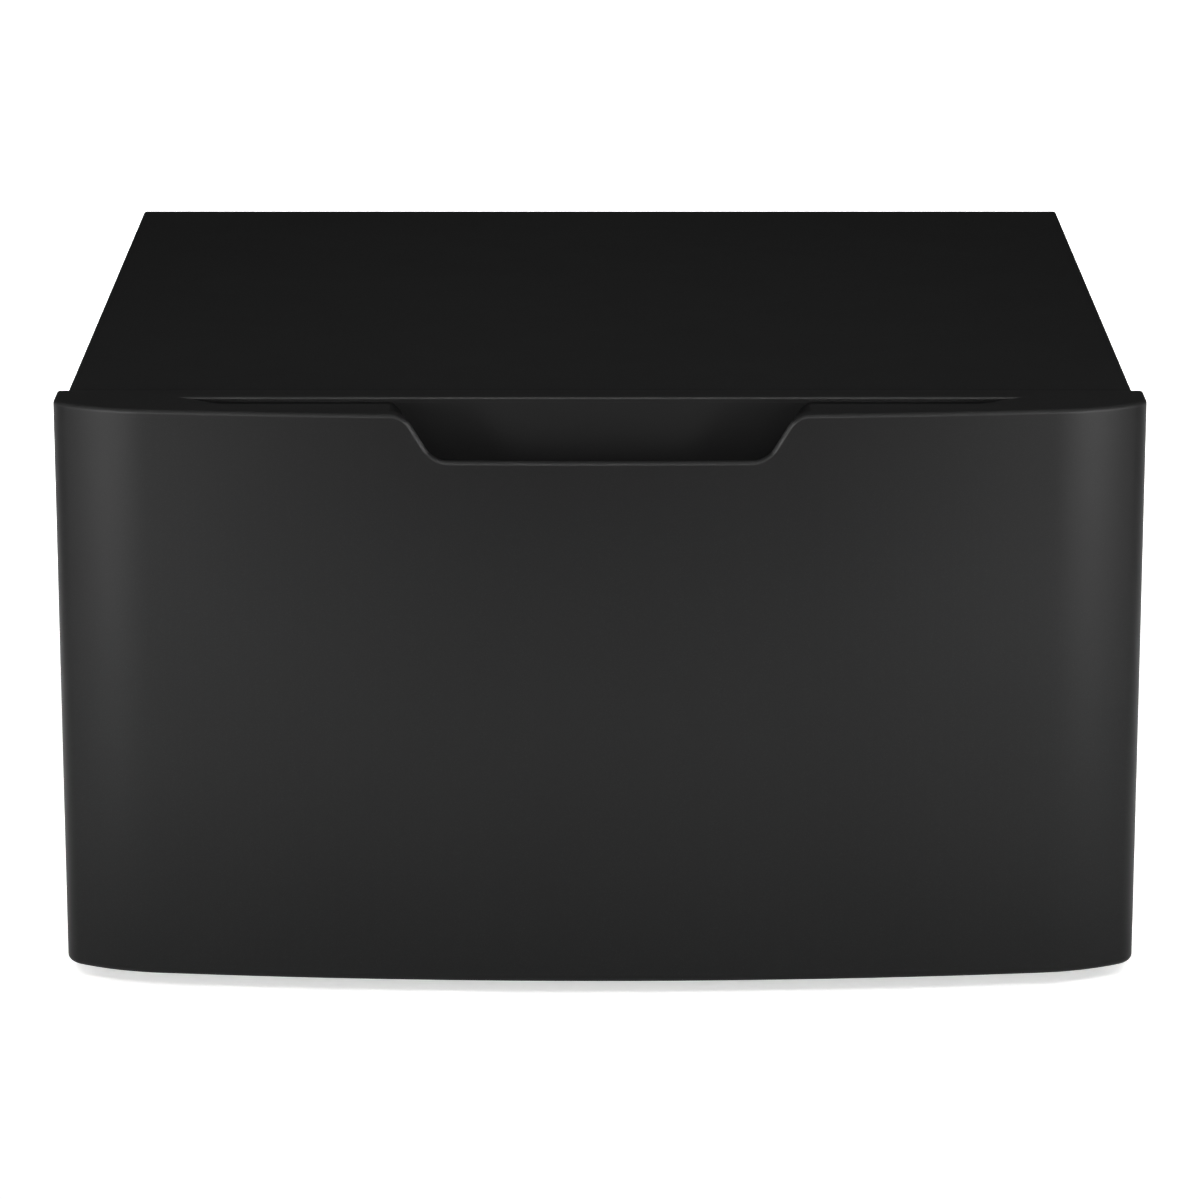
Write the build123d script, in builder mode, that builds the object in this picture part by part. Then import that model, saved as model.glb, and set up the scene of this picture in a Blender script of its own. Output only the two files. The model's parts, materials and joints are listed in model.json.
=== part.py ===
from build123d import *
import os
from math import asin, cos, degrees, radians, sin, tan

# A laundry pedestal: a sheet-metal stand with one full-width storage drawer on telescopic slides.
# Millimetres. X runs along the width, Y from the front to the back, Z up from the floor.

# Overall size
overall_width = 685.8
overall_depth = 672.0
overall_height = 393.7

# Drawer front: a moulding that bows forward and turns round at both ends
front_height = 370.6
front_depth = 70.0
front_wall = 3.0
bow_radius = 2500.0
shoulder_radius = 130.0
shoulder_span = 60.0
corner_radius = 18.0
top_edge_radius = 5.0
bottom_edge_radius = 4.0
front_gap = 4.0
front_rise = 2.7
front_overhang = 5.8

# Finger notch in the top edge of the drawer front
notch_top_half = 121.5
notch_bottom_half = 103.3
notch_depth = 29.5
notch_top_radius = 15.0
notch_bottom_radius = 15.0
notch_flare_run = 60.0
notch_flare_angle = 8.0

# Opening in the top of the drawer front, and the hand pocket under it
pocket_rear = 19.7
pocket_rear_half = 262.0
pocket_front_half = 217.9
pocket_lip = 9.2
pocket_edge_radius = 2.6
pocket_depth = 58.0
pocket_wall = 2.5
pocket_ledge = 6.0
trough_top_half = 128.0
trough_bottom_half = 98.0
trough_floor_radius = 18.0
trough_blend_radius = 14.0
trough_setback = 1.5

# Screw bosses inside the drawer front, and the panel that closes it from behind
boss_radius = 6.0
boss_inset = 36.0
boss_pitch = 220.0
backing_flange = 9.0
backing_fit = 0.4

# Sheet metal of the cabinet
sheet = 1.2
bend = 2.5
lap = 0.2
cabinet_lift = 20.0
deck_flange = 26.0
side_flange = 14.0
rear_press = 5.0
rear_press_margin = 60.0
rear_press_radius = 30.0
rail_height = 40.0
rail_flange = 30.0
top_rail_height = 24.0
brace_width = 60.0
brace_depth = 16.0
brace_foot = 16.0
brace_spread = 300.0
brace_gap = 4.0

# Telescopic slides: rolled channels nested in one another, with balls between them
slide_length = 508.0
slide_thickness = 12.7
slide_height = 45.0
slide_centre = 132.0
slide_front_margin = 6.0
slide_gauge = 1.2
slide_bend = 0.9
support_depth = 14.6
support_crown = 60.0
support_foot = 18.0
ball_radius = 1.85
ball_fit = 0.15
ball_count = 4
outer_flange_reach = 11.0
outer_lip = 2.4
middle_web = 3.6
middle_flange_reach = 11.4
middle_lip = 2.2
inner_flange_start = 6.4
cage_gauge = 0.8
cage_length = 210.0
cage_rear_offset = 6.0
cage_slot = 12.0
outer_cage_web = 1.6
outer_cage_reach = 9.2
outer_ball_line = 7.0
inner_cage_web = 5.2
inner_cage_reach = 9.6
inner_ball_line = 8.0

# Release levers in the inner slide members
lever_length = 52.0
lever_width = 8.0
lever_thickness = 2.4
lever_pivot = 150.0
lever_gap = 0.4
pin_radius = 1.6
pin_fit = 0.1
pin_head = 0.8

# Drawer box
drawer_length = 550.0
drawer_bottom = 72.0
drawer_height = 278.0
drawer_sheet = 1.0
drawer_flange = 14.0
drawer_bend = 2.2
floor_bead_height = 2.5
floor_bead_width = 16.0
floor_bead_margin = 70.0
floor_bead_count = 4

# Screws
screw_radius = 1.9
screw_hole = 2.1
screw_head_radius = 3.5
screw_head_height = 1.8
screw_head_round = 0.8
screw_length = 8.0
boss_screw_length = 14.0
box_screw_shares = (0.15, 0.5, 0.85)
rear_screw_shares = (0.22, 0.55, 0.88)
outer_slide_screw_shares = (0.02, 0.37, 0.9)
inner_slide_screw_shares = (0.08, 0.5, 0.92)

# Levelling feet
foot_inset = 45.0
bracket_size = 86.0
bracket_gauge = 2.5
bracket_headroom = 8.0
bracket_corner = 20.0
stud_radius = 4.9
thread_fit = 0.1
stud_length = 44.0
nut_flats = 17.0
nut_height = 8.0
lock_nut_height = 6.0
lock_nut_gap = 0.4
pad_height = 3.0
pad_radius = 19.0
pad_lip = 1.2
foot_disc = 5.0
foot_disc_radius = 18.0
foot_cone = 3.0

# Rubber bumpers on the front of the side panels
bumper_radius = 5.0
bumper_stem = 2.4
bumper_hole = 2.6
bumper_barb = 3.4
bumper_barb_length = 3.0
bumper_inset = 22.5
bumper_rise = 5.4
bumper_gap = 0.3

# How near an edge lies to a plane to count as on it
on_plane = 0.01

# Places that follow from the sizes
half_width = overall_width / 2
front_y = -overall_depth / 2
rim_y = front_y + front_depth
cabinet_front = rim_y + front_gap
cabinet_back = overall_depth / 2 - screw_head_height
cabinet_half = half_width - front_overhang
cabinet_depth = cabinet_back - cabinet_front
cabinet_middle = (cabinet_front + cabinet_back) / 2
front_bottom = overall_height - front_height
front_middle = front_bottom + front_height / 2
deck_top = overall_height - front_rise
deck_under = deck_top - sheet
side_outer = cabinet_half - sheet - lap
side_inner = side_outer - sheet
side_front = cabinet_front + sheet + lap
side_back = cabinet_back - sheet - lap
side_height = deck_under - cabinet_lift
inside_front = side_front + sheet
inside_back = side_back - sheet
nest = bend - sheet + lap
support_face = side_inner - support_depth
drawer_half = support_face - slide_thickness
drawer_front_y = rim_y
drawer_back_y = drawer_front_y + drawer_length
drawer_top = drawer_bottom + drawer_height
slide_front = cabinet_front + slide_front_margin
pocket_rear_y = rim_y - pocket_rear
ledge_z = overall_height - front_wall
pocket_floor = overall_height - pocket_depth
pocket_skin = front_wall + backing_fit

# Centres of the three arcs of the bowed front, each tangent to the next
bow_angle = degrees(asin((half_width - shoulder_span) / bow_radius))
bow_centre = (0, front_y + bow_radius)
shoulder_centre = (
    (bow_radius - shoulder_radius) * sin(radians(bow_angle)),
    bow_centre[1] - (bow_radius - shoulder_radius) * cos(radians(bow_angle)),
)
shoulder_reach = shoulder_radius - corner_radius
shoulder_angle = degrees(asin((half_width - corner_radius - shoulder_centre[0]) / shoulder_reach))
corner_centre = (
    half_width - corner_radius,
    shoulder_centre[1] - shoulder_reach * cos(radians(shoulder_angle)),
)

# Half heights of the flat faces that the balls run between, from the outermost channel inwards
outer_race = slide_height / 2 - slide_gauge
race_gap = 2 * (ball_radius + ball_fit)
middle_outer_race = outer_race - race_gap
middle_inner_race = middle_outer_race - slide_gauge
inner_race = middle_inner_race - race_gap
outer_ball_height = (outer_race + middle_outer_race) / 2
inner_ball_height = (middle_inner_race + inner_race) / 2
cage_front = slide_front + (slide_length - cage_length) / 2 + cage_rear_offset

os.makedirs("parts", exist_ok=True)


def keep(piece, name):
    """Label one finished piece and write it to its own file."""
    piece.part.label = name
    export_step(piece.part, f"parts/{name}.step")


def keep_both_sides(piece, name):
    """Write a piece of the right side, and its mirror image for the left side."""
    keep(piece, f"{name}_right")
    with BuildPart() as other:
        mirror(piece.part, about=Plane.YZ)
    keep(other, f"{name}_left")


def facing_front(y):
    """Upright plane at y: its X is the width, its Y is the height, its normal points to the front."""
    return Plane.XZ.offset(-y)


def facing_back(y):
    """Upright plane at y whose normal points to the back, with X along the width reversed."""
    return Plane(origin=(0, y, 0), x_dir=(-1, 0, 0), z_dir=(0, 1, 0))


def facing_in(x):
    """Upright plane at x on the right side: its X runs to the front, its normal points to the middle."""
    return Plane(origin=(x, 0, 0), x_dir=(0, -1, 0), z_dir=(-1, 0, 0))


def slide_section(y):
    """Section plane of the right slide at y: its X runs from the support to the drawer, its Y is up."""
    return Plane(origin=(support_face, y, slide_centre), x_dir=(-1, 0, 0), z_dir=(0, 1, 0))


def folded_tray(face, length, breadth, flange, gauge, radius):
    """Sheet folded along all four edges: closed on the face plane, open along its normal."""
    normal = Axis(face.origin, face.z_dir)
    with BuildPart() as tray:
        with BuildSketch(face):
            RectangleRounded(length, breadth, radius)
        extrude(amount=flange)
        fillet(tray.faces().sort_by(normal)[0].edges(), radius=radius)
        offset(amount=-gauge, openings=tray.faces().sort_by(normal)[-1])
    return tray


def bent_sheet(section, points, gauge, radius, length):
    """Sheet of one gauge, bent along a centre line in the section plane and run along its normal."""
    with BuildPart() as strip:
        with BuildSketch(section):
            with BuildLine():
                FilletPolyline(*points, radius=radius)
            trace(line_width=gauge)
        extrude(amount=length)
    return strip


def pegs(seat, points, radius, length):
    """Round pegs standing on a seat plane, to bore a row of holes with."""
    with BuildPart() as group:
        with BuildSketch(seat):
            with Locations(*points):
                Circle(radius)
        extrude(amount=length, both=True)
    return group


def pan_screws(seat, points, length):
    """Pan-head screws on a seat plane: heads along its normal, shanks against it."""
    with BuildPart() as group:
        with BuildSketch(seat):
            with Locations(*points):
                Circle(screw_head_radius)
        extrude(amount=screw_head_height)
        crowns = group.faces().sort_by(Axis(seat.origin, seat.z_dir))[-len(points):]
        fillet(crowns.edges(), radius=screw_head_round)
        with BuildSketch(seat):
            with Locations(*points):
                Circle(screw_radius)
        extrude(amount=-length)
    return group


def front_outline(inset):
    """Plan of the drawer front, drawn in by inset along the bow, the shoulders and the ends."""
    with BuildSketch() as outline:
        with BuildLine():
            CenterArc(shoulder_centre, shoulder_radius - inset, bow_angle - 90, shoulder_angle - bow_angle)
            turn = CenterArc(corner_centre, corner_radius - inset, shoulder_angle - 90, 90 - shoulder_angle)
            Line(turn @ 1, (half_width - inset, rim_y))
            mirror(about=Plane.YZ)
            CenterArc(bow_centre, bow_radius - inset, -90 - bow_angle, 2 * bow_angle)
            Line((inset - half_width, rim_y), (half_width - inset, rim_y))
        make_face()
    return outline.sketch


def pocket_outline(rear, rear_half, front_half, lip):
    """Plan of the pocket's opening: a straight rear edge, slanted ends and a front edge along the bow."""
    with BuildSketch() as outline:
        sweep_angle = degrees(asin(front_half / (bow_radius - lip)))
        with BuildLine():
            back_edge = Line((-rear_half, rim_y - rear), (rear_half, rim_y - rear))
            front_edge = CenterArc(bow_centre, bow_radius - lip, -90 - sweep_angle, 2 * sweep_angle)
            Line(back_edge @ 1, front_edge @ 1)
            Line(front_edge @ 0, back_edge @ 0)
        make_face()
    return outline.sketch


def notch_outline(grow):
    """Elevation of the finger notch, let down and widened by grow, open above the top edge."""
    flare = notch_flare_run * tan(radians(notch_flare_angle))
    right = [
        (notch_bottom_half + grow, overall_height - notch_depth - grow),
        (notch_top_half + grow, overall_height),
        (notch_top_half + grow + notch_flare_run, overall_height + flare),
    ]
    left = [(-x, z) for x, z in reversed(right)]
    with BuildSketch() as outline:
        Polygon(*right, *left, align=None)
        rows = outline.vertices().group_by(Axis.Y)
        fillet(rows[0], radius=notch_bottom_radius)
        rows = outline.vertices().group_by(Axis.Y)
        fillet(rows[-2], radius=notch_top_radius)
    return outline.sketch


def trough_outline(grow):
    """Elevation of the hand pocket's trough, with soft shoulders, grown by one wall for its outside."""
    flare = notch_flare_run * tan(radians(notch_flare_angle))
    right = [
        (trough_bottom_half, pocket_floor),
        (trough_top_half, ledge_z),
        (trough_top_half + notch_flare_run, ledge_z + flare),
    ]
    left = [(-x, z) for x, z in reversed(right)]
    with BuildSketch() as outline:
        Polygon(*right, *left, align=None)
        rows = outline.vertices().group_by(Axis.Y)
        fillet(rows[0], radius=trough_floor_radius)
        rows = outline.vertices().group_by(Axis.Y)
        fillet(rows[-2], radius=trough_blend_radius)
        if grow > 0:
            offset(amount=grow)
    return outline.sketch


# Screw places, in the coordinates of the plane that each row of screws sits on
boss_rows = (front_bottom + boss_inset, overall_height - boss_inset)
boss_points = [(x, z) for x in (boss_inset - half_width, half_width - boss_inset) for z in boss_rows]
boss_points += [(x, boss_rows[0]) for x in (-boss_pitch / 2, boss_pitch / 2)]
box_screw_x = drawer_half - drawer_flange / 2
box_screw_rows = [drawer_bottom + share * drawer_height for share in box_screw_shares]
box_points = [(x, z) for x in (-box_screw_x, box_screw_x) for z in box_screw_rows]
rear_screw_x = side_outer - side_flange / 2
rear_top = deck_top - deck_flange - lap
rear_screw_rows = [cabinet_lift + share * (rear_top - cabinet_lift) for share in rear_screw_shares]
rear_points = [(x, z) for x in (-rear_screw_x, rear_screw_x) for z in rear_screw_rows]
deck_points = [(x, deck_top - deck_flange / 2) for x in (-rear_screw_x, rear_screw_x)]
outer_slide_points = [
    (-(slide_front + slide_length * share), slide_centre) for share in outer_slide_screw_shares
]
inner_slide_points = [
    (-(slide_front + slide_length * share), slide_centre) for share in inner_slide_screw_shares
]
lever_pivot_y = slide_front + slide_length / 2 + lever_pivot
lever_points = [(-lever_pivot_y, slide_centre)]
foot_x = side_inner - foot_inset
bracket_reach = nest + sheet + bend
bracket_edges = (inside_front + bracket_reach, inside_back - bracket_reach)
foot_rows = (bracket_edges[0] + foot_inset, bracket_edges[1] - foot_inset)
rail_bottom = cabinet_lift + sheet + nest
rail_high = rail_bottom + rail_height
bracket_bottom = rail_bottom + sheet
bracket_top = bracket_bottom + bracket_gauge
bracket_upstand = rail_height - bracket_headroom
foot_points = [(x, y) for x in (-foot_x, foot_x) for y in foot_rows]

# Deck panel
deck_face = Plane(origin=(0, cabinet_middle, deck_top), x_dir=(1, 0, 0), z_dir=(0, 0, -1))
deck_tray = folded_tray(deck_face, 2 * cabinet_half, cabinet_depth, deck_flange, sheet, bend)
deck_holes = pegs(facing_back(cabinet_back), deck_points, screw_hole, bend + sheet)
with BuildPart() as deck_panel:
    add(deck_tray.part)
    add(deck_holes.part, mode=Mode.SUBTRACT)
keep(deck_panel, "deck_panel")

# Side panels: trays that open to the inside
side_face = Plane(
    origin=(side_outer, (side_front + side_back) / 2, cabinet_lift + side_height / 2),
    x_dir=(0, -1, 0),
    z_dir=(-1, 0, 0),
)
side_tray = folded_tray(side_face, side_back - side_front, side_height, side_flange, sheet, bend)
rear_holes = pegs(facing_back(side_back), rear_points + deck_points, screw_hole, bend + sheet)
bumper_rows = (rail_high + bumper_rise, deck_top - deck_flange - bumper_inset)
bumper_x = side_outer - side_flange / 2
bumper_points = [(x, z) for x in (-bumper_x, bumper_x) for z in bumper_rows]
bumper_holes = pegs(facing_front(side_front), bumper_points, bumper_hole, bend)
with BuildPart() as side_panel:
    add(side_tray.part)
    add(rear_holes.part, mode=Mode.SUBTRACT)
    add(bumper_holes.part, mode=Mode.SUBTRACT)
keep_both_sides(side_panel, "side_panel")

# Rear panel with a pressed field
rear_middle = (cabinet_lift + rear_top) / 2
rear_height = rear_top - cabinet_lift
panel_holes = pegs(facing_back(side_back), rear_points, screw_hole, bend + sheet)
with BuildPart() as rear_panel:
    with BuildSketch(facing_back(side_back)):
        with Locations((0, rear_middle)):
            RectangleRounded(2 * side_outer, rear_height, bend)
    extrude(amount=sheet)
    with BuildSketch(facing_front(side_back)):
        with Locations((0, rear_middle)):
            RectangleRounded(
                2 * (side_outer - rear_press_margin), rear_height - 2 * rear_press_margin, rear_press_radius
            )
    extrude(amount=rear_press)
    with BuildSketch(facing_front(side_back + sheet)):
        with Locations((0, rear_middle)):
            RectangleRounded(
                2 * (side_outer - rear_press_margin - sheet),
                rear_height - 2 * (rear_press_margin + sheet),
                rear_press_radius - sheet,
            )
    extrude(amount=rear_press, mode=Mode.SUBTRACT)
    add(panel_holes.part, mode=Mode.SUBTRACT)
keep(rear_panel, "rear_panel")

# Base rails and the rail under the front of the deck: channels between the side panels
rail_span = 2 * side_inner
rail_start = Plane(origin=(-side_inner, 0, 0), x_dir=(0, 1, 0), z_dir=(1, 0, 0))
rail_low = rail_bottom + sheet / 2
front_web = inside_front + nest + sheet / 2
rear_web = inside_back - nest - sheet / 2
front_rail_line = [
    (front_web + rail_flange, rail_low),
    (front_web, rail_low),
    (front_web, rail_high),
    (front_web + rail_flange / 2, rail_high),
]
base_rail_front = bent_sheet(rail_start, front_rail_line, sheet, bend, rail_span)
keep(base_rail_front, "base_rail_front")
rear_rail_line = [
    (rear_web - rail_flange, rail_low),
    (rear_web, rail_low),
    (rear_web, rail_high),
    (rear_web - rail_flange / 2, rail_high),
]
base_rail_rear = bent_sheet(rail_start, rear_rail_line, sheet, bend, rail_span)
keep(base_rail_rear, "base_rail_rear")
top_rail_high = deck_under - sheet - nest - sheet / 2
top_rail_line = [
    (front_web + rail_flange, top_rail_high),
    (front_web, top_rail_high),
    (front_web, top_rail_high - top_rail_height),
    (front_web + rail_flange / 2, top_rail_high - top_rail_height),
]
front_top_rail = bent_sheet(rail_start, top_rail_line, sheet, bend, rail_span)
keep(front_top_rail, "front_top_rail")

# Deck braces: hat sections against the underside of the deck
brace_front = inside_front + nest + rail_flange + brace_gap
brace_high = deck_under - sheet / 2
brace_low = brace_high - brace_depth
brace_line = [
    (brace_spread / 2 - brace_width / 2 - brace_foot, brace_high),
    (brace_spread / 2 - brace_width / 2, brace_high),
    (brace_spread / 2 - brace_width / 2, brace_low),
    (brace_spread / 2 + brace_width / 2, brace_low),
    (brace_spread / 2 + brace_width / 2, brace_high),
    (brace_spread / 2 + brace_width / 2 + brace_foot, brace_high),
]
brace_plane = Plane(origin=(0, inside_back, 0), x_dir=(1, 0, 0), z_dir=(0, -1, 0))
deck_brace = bent_sheet(brace_plane, brace_line, sheet, bend, inside_back - brace_front)
keep_both_sides(deck_brace, "deck_brace")

# Slide supports: hat sections along the inside of the side panels
support_low = slide_centre - support_crown / 2
support_high = slide_centre + support_crown / 2
support_back = side_inner - sheet / 2
support_front = support_face + sheet / 2
support_line = [
    (support_back, support_low - support_foot),
    (support_back, support_low),
    (support_front, support_low),
    (support_front, support_high),
    (support_back, support_high),
    (support_back, support_high + support_foot),
]
support_plane = Plane(origin=(0, inside_back - nest, 0), x_dir=(1, 0, 0), z_dir=(0, -1, 0))
support_length = inside_back - inside_front - 2 * nest
support_strip = bent_sheet(support_plane, support_line, sheet, bend, support_length)
support_holes = pegs(facing_in(support_face), outer_slide_points, screw_hole, 2 * sheet)
with BuildPart() as slide_support:
    add(support_strip.part)
    add(support_holes.part, mode=Mode.SUBTRACT)
keep_both_sides(slide_support, "slide_support")

# Corner brackets that carry the feet
for row, bracket_edge, row_name, inward in zip(foot_rows, bracket_edges, ("front", "rear"), (1, -1)):
    bracket_middle = bracket_edge + inward * bracket_size / 2
    with BuildPart() as corner_bracket:
        with BuildSketch(Plane.XY.offset(bracket_bottom)):
            with Locations((side_inner - bracket_size / 2, bracket_middle)):
                Rectangle(bracket_size, bracket_size)
        extrude(amount=bracket_gauge)
        free_edges = corner_bracket.edges().filter_by(Axis.Z).sort_by(Axis.X)[:2]
        fillet(free_edges, radius=bracket_corner)
        with BuildSketch(facing_in(side_inner)):
            with Locations((-bracket_middle, bracket_bottom + bracket_upstand / 2)):
                Rectangle(bracket_size, bracket_upstand)
        extrude(amount=bracket_gauge)
        with BuildSketch(Plane.XY.offset(bracket_bottom)):
            with Locations((foot_x, row)):
                Circle(stud_radius + thread_fit)
        extrude(amount=bracket_gauge, mode=Mode.SUBTRACT)
    keep_both_sides(corner_bracket, f"corner_bracket_{row_name}")


def hex_nuts(bottom, height):
    """Hexagon nuts on the four foot studs, from a given height up."""
    with BuildPart() as nuts:
        with BuildSketch(Plane.XY.offset(bottom)):
            with Locations(*foot_points):
                RegularPolygon(nut_flats / 2, 6, major_radius=False)
                Circle(stud_radius + thread_fit, mode=Mode.SUBTRACT)
        extrude(amount=height)
    return nuts


foot_weld_nuts = hex_nuts(bracket_top, nut_height)
keep(foot_weld_nuts, "foot_weld_nuts")
lock_nut_bottom = bracket_bottom - lock_nut_height
foot_lock_nuts = hex_nuts(lock_nut_bottom, lock_nut_height)
keep(foot_lock_nuts, "foot_lock_nuts")

# Levelling feet: a stud with a hexagon and a disc, standing in a rubber pad
hex_top = lock_nut_bottom - lock_nut_gap
for x, side_name in ((-foot_x, "left"), (foot_x, "right")):
    for y, row_name in zip(foot_rows, ("front", "rear")):
        with BuildPart() as foot:
            with BuildSketch(Plane.XY.offset(pad_height)):
                with Locations((x, y)):
                    Circle(foot_disc_radius)
            extrude(amount=foot_disc)
            rim = foot.edges().group_by(Axis.Z)[-1]
            chamfer(rim, length=foot_cone, length2=2 * foot_cone)
            with BuildSketch(Plane.XY.offset(pad_height + foot_disc)):
                with Locations((x, y)):
                    RegularPolygon(nut_flats / 2, 6, major_radius=False)
            extrude(amount=hex_top - pad_height - foot_disc)
            with BuildSketch(Plane.XY.offset(hex_top)):
                with Locations((x, y)):
                    Circle(stud_radius)
            extrude(amount=stud_length)
        keep(foot, f"foot_{row_name}_{side_name}")
        with BuildPart() as foot_pad:
            with BuildSketch():
                with Locations((x, y)):
                    Circle(pad_radius)
            extrude(amount=pad_height + pad_lip)
            with BuildSketch(Plane.XY.offset(pad_height)):
                with Locations((x, y)):
                    Circle(foot_disc_radius)
            extrude(amount=pad_lip, mode=Mode.SUBTRACT)
        keep(foot_pad, f"foot_pad_{row_name}_{side_name}")

# Rubber bumpers that the drawer front closes against
bumper_height = side_front - rim_y - bumper_gap
with BuildPart() as drawer_bumpers:
    with BuildSketch(facing_front(side_front)):
        with Locations(*bumper_points):
            Circle(bumper_radius)
    extrude(amount=bumper_height)
    noses = drawer_bumpers.faces().sort_by(Axis.Y)[: len(bumper_points)]
    fillet(noses.edges(), radius=bumper_height / 3)
    with BuildSketch(facing_back(side_front)):
        with Locations(*bumper_points):
            Circle(bumper_stem)
    extrude(amount=sheet)
    with BuildSketch(facing_back(inside_front)):
        with Locations(*bumper_points):
            Circle(bumper_barb)
    extrude(amount=bumper_barb_length, taper=20)
keep(drawer_bumpers, "drawer_bumpers")

# Outer slide members
outer_line = [
    (outer_flange_reach - slide_gauge / 2, outer_race - outer_lip),
    (outer_flange_reach - slide_gauge / 2, outer_race + slide_gauge / 2),
    (slide_gauge / 2, outer_race + slide_gauge / 2),
]
outer_line += [(u, -w) for u, w in reversed(outer_line)]
outer_strip = bent_sheet(slide_section(slide_front), outer_line, slide_gauge, slide_bend, slide_length)
with BuildPart() as slide_outer:
    add(outer_strip.part)
    add(support_holes.part, mode=Mode.SUBTRACT)
keep_both_sides(slide_outer, "slide_outer")

# Middle slide members
middle_line = [
    (middle_flange_reach - slide_gauge / 2, middle_inner_race - middle_lip),
    (middle_flange_reach - slide_gauge / 2, middle_outer_race - slide_gauge / 2),
    (middle_web + slide_gauge / 2, middle_outer_race - slide_gauge / 2),
]
middle_line += [(u, -w) for u, w in reversed(middle_line)]
slide_middle = bent_sheet(slide_section(slide_front), middle_line, slide_gauge, slide_bend, slide_length)
keep_both_sides(slide_middle, "slide_middle")

# Inner slide members, fixed to the drawer sides
inner_line = [
    (inner_flange_start, inner_race - slide_gauge / 2),
    (slide_thickness - slide_gauge / 2, inner_race - slide_gauge / 2),
]
inner_line += [(u, -w) for u, w in reversed(inner_line)]
inner_strip = bent_sheet(slide_section(slide_front), inner_line, slide_gauge, slide_bend, slide_length)
inner_holes = pegs(facing_in(drawer_half), inner_slide_points, screw_hole, slide_gauge + drawer_bend)
pin_holes = pegs(facing_in(drawer_half), lever_points, pin_radius + pin_fit, 2 * slide_gauge)
with BuildPart() as slide_inner:
    add(inner_strip.part)
    add(inner_holes.part, mode=Mode.SUBTRACT)
    add(pin_holes.part, mode=Mode.SUBTRACT)
keep_both_sides(slide_inner, "slide_inner")


def cage_and_balls(web, reach, ball_line, ball_height):
    """One ball cage with its balls: a slotted channel with a row of balls in each flange."""
    line = [
        (reach, ball_height),
        (web + cage_gauge / 2, ball_height),
        (web + cage_gauge / 2, -ball_height),
        (reach, -ball_height),
    ]
    strip = bent_sheet(slide_section(cage_front), line, cage_gauge, slide_bend, cage_length)
    pitch = cage_length / ball_count
    rows = [cage_front + (step + 0.5) * pitch for step in range(ball_count)]
    seats = [
        (support_face - ball_line, y, slide_centre + side * ball_height) for y in rows for side in (-1, 1)
    ]
    with BuildPart() as sockets:
        with Locations(*seats):
            Sphere(ball_radius + ball_fit)
    with BuildPart() as cage:
        add(strip.part)
        add(sockets.part, mode=Mode.SUBTRACT)
        with BuildSketch(facing_in(support_face - web)):
            with Locations((-(cage_front + cage_length / 2), slide_centre)):
                SlotOverall(cage_length - 2 * cage_slot, cage_slot)
        extrude(amount=cage_gauge, both=True, mode=Mode.SUBTRACT)
    with BuildPart() as balls:
        with Locations(*seats):
            Sphere(ball_radius)
    return cage, balls


outer_cage, outer_balls = cage_and_balls(outer_cage_web, outer_cage_reach, outer_ball_line, outer_ball_height)
keep_both_sides(outer_cage, "outer_ball_cage")
keep_both_sides(outer_balls, "outer_balls")
inner_cage, inner_balls = cage_and_balls(inner_cage_web, inner_cage_reach, inner_ball_line, inner_ball_height)
keep_both_sides(inner_cage, "inner_ball_cage")
keep_both_sides(inner_balls, "inner_balls")

# Release levers on pivot pins in the inner slide members
lever_face = drawer_half + slide_gauge + lever_gap
with BuildPart() as release_lever:
    with BuildSketch(facing_in(lever_face)):
        with Locations((-lever_pivot_y + lever_length / 2 - lever_width / 2, slide_centre)):
            SlotOverall(lever_length, lever_width)
        with Locations(*lever_points):
            Circle(pin_radius + pin_fit, mode=Mode.SUBTRACT)
    extrude(amount=-lever_thickness)
    chamfer(release_lever.faces().sort_by(Axis.X)[-1].outer_wire().edges(), length=lever_thickness / 4)
keep_both_sides(release_lever, "release_lever")
with BuildPart() as lever_pin:
    with BuildSketch(facing_in(drawer_half)):
        with Locations(*lever_points):
            Circle(pin_radius)
    extrude(amount=-(slide_gauge + lever_thickness + 2 * lever_gap))
    with BuildSketch(facing_in(lever_face + lever_thickness + lever_gap)):
        with Locations(*lever_points):
            Circle(2 * pin_radius)
    extrude(amount=-pin_head)
keep_both_sides(lever_pin, "lever_pin")

# Drawer sides: trays that open to the inside
drawer_side_face = Plane(
    origin=(drawer_half, (drawer_front_y + drawer_back_y) / 2, drawer_bottom + drawer_height / 2),
    x_dir=(0, -1, 0),
    z_dir=(-1, 0, 0),
)
drawer_tray = folded_tray(
    drawer_side_face, drawer_length, drawer_height, drawer_flange, drawer_sheet, drawer_bend
)
box_holes = pegs(facing_front(drawer_front_y), box_points, screw_hole, 2 * drawer_bend)
with BuildPart() as drawer_side:
    add(drawer_tray.part)
    add(inner_holes.part, mode=Mode.SUBTRACT)
    add(box_holes.part, mode=Mode.SUBTRACT)
keep_both_sides(drawer_side, "drawer_side")

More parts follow.
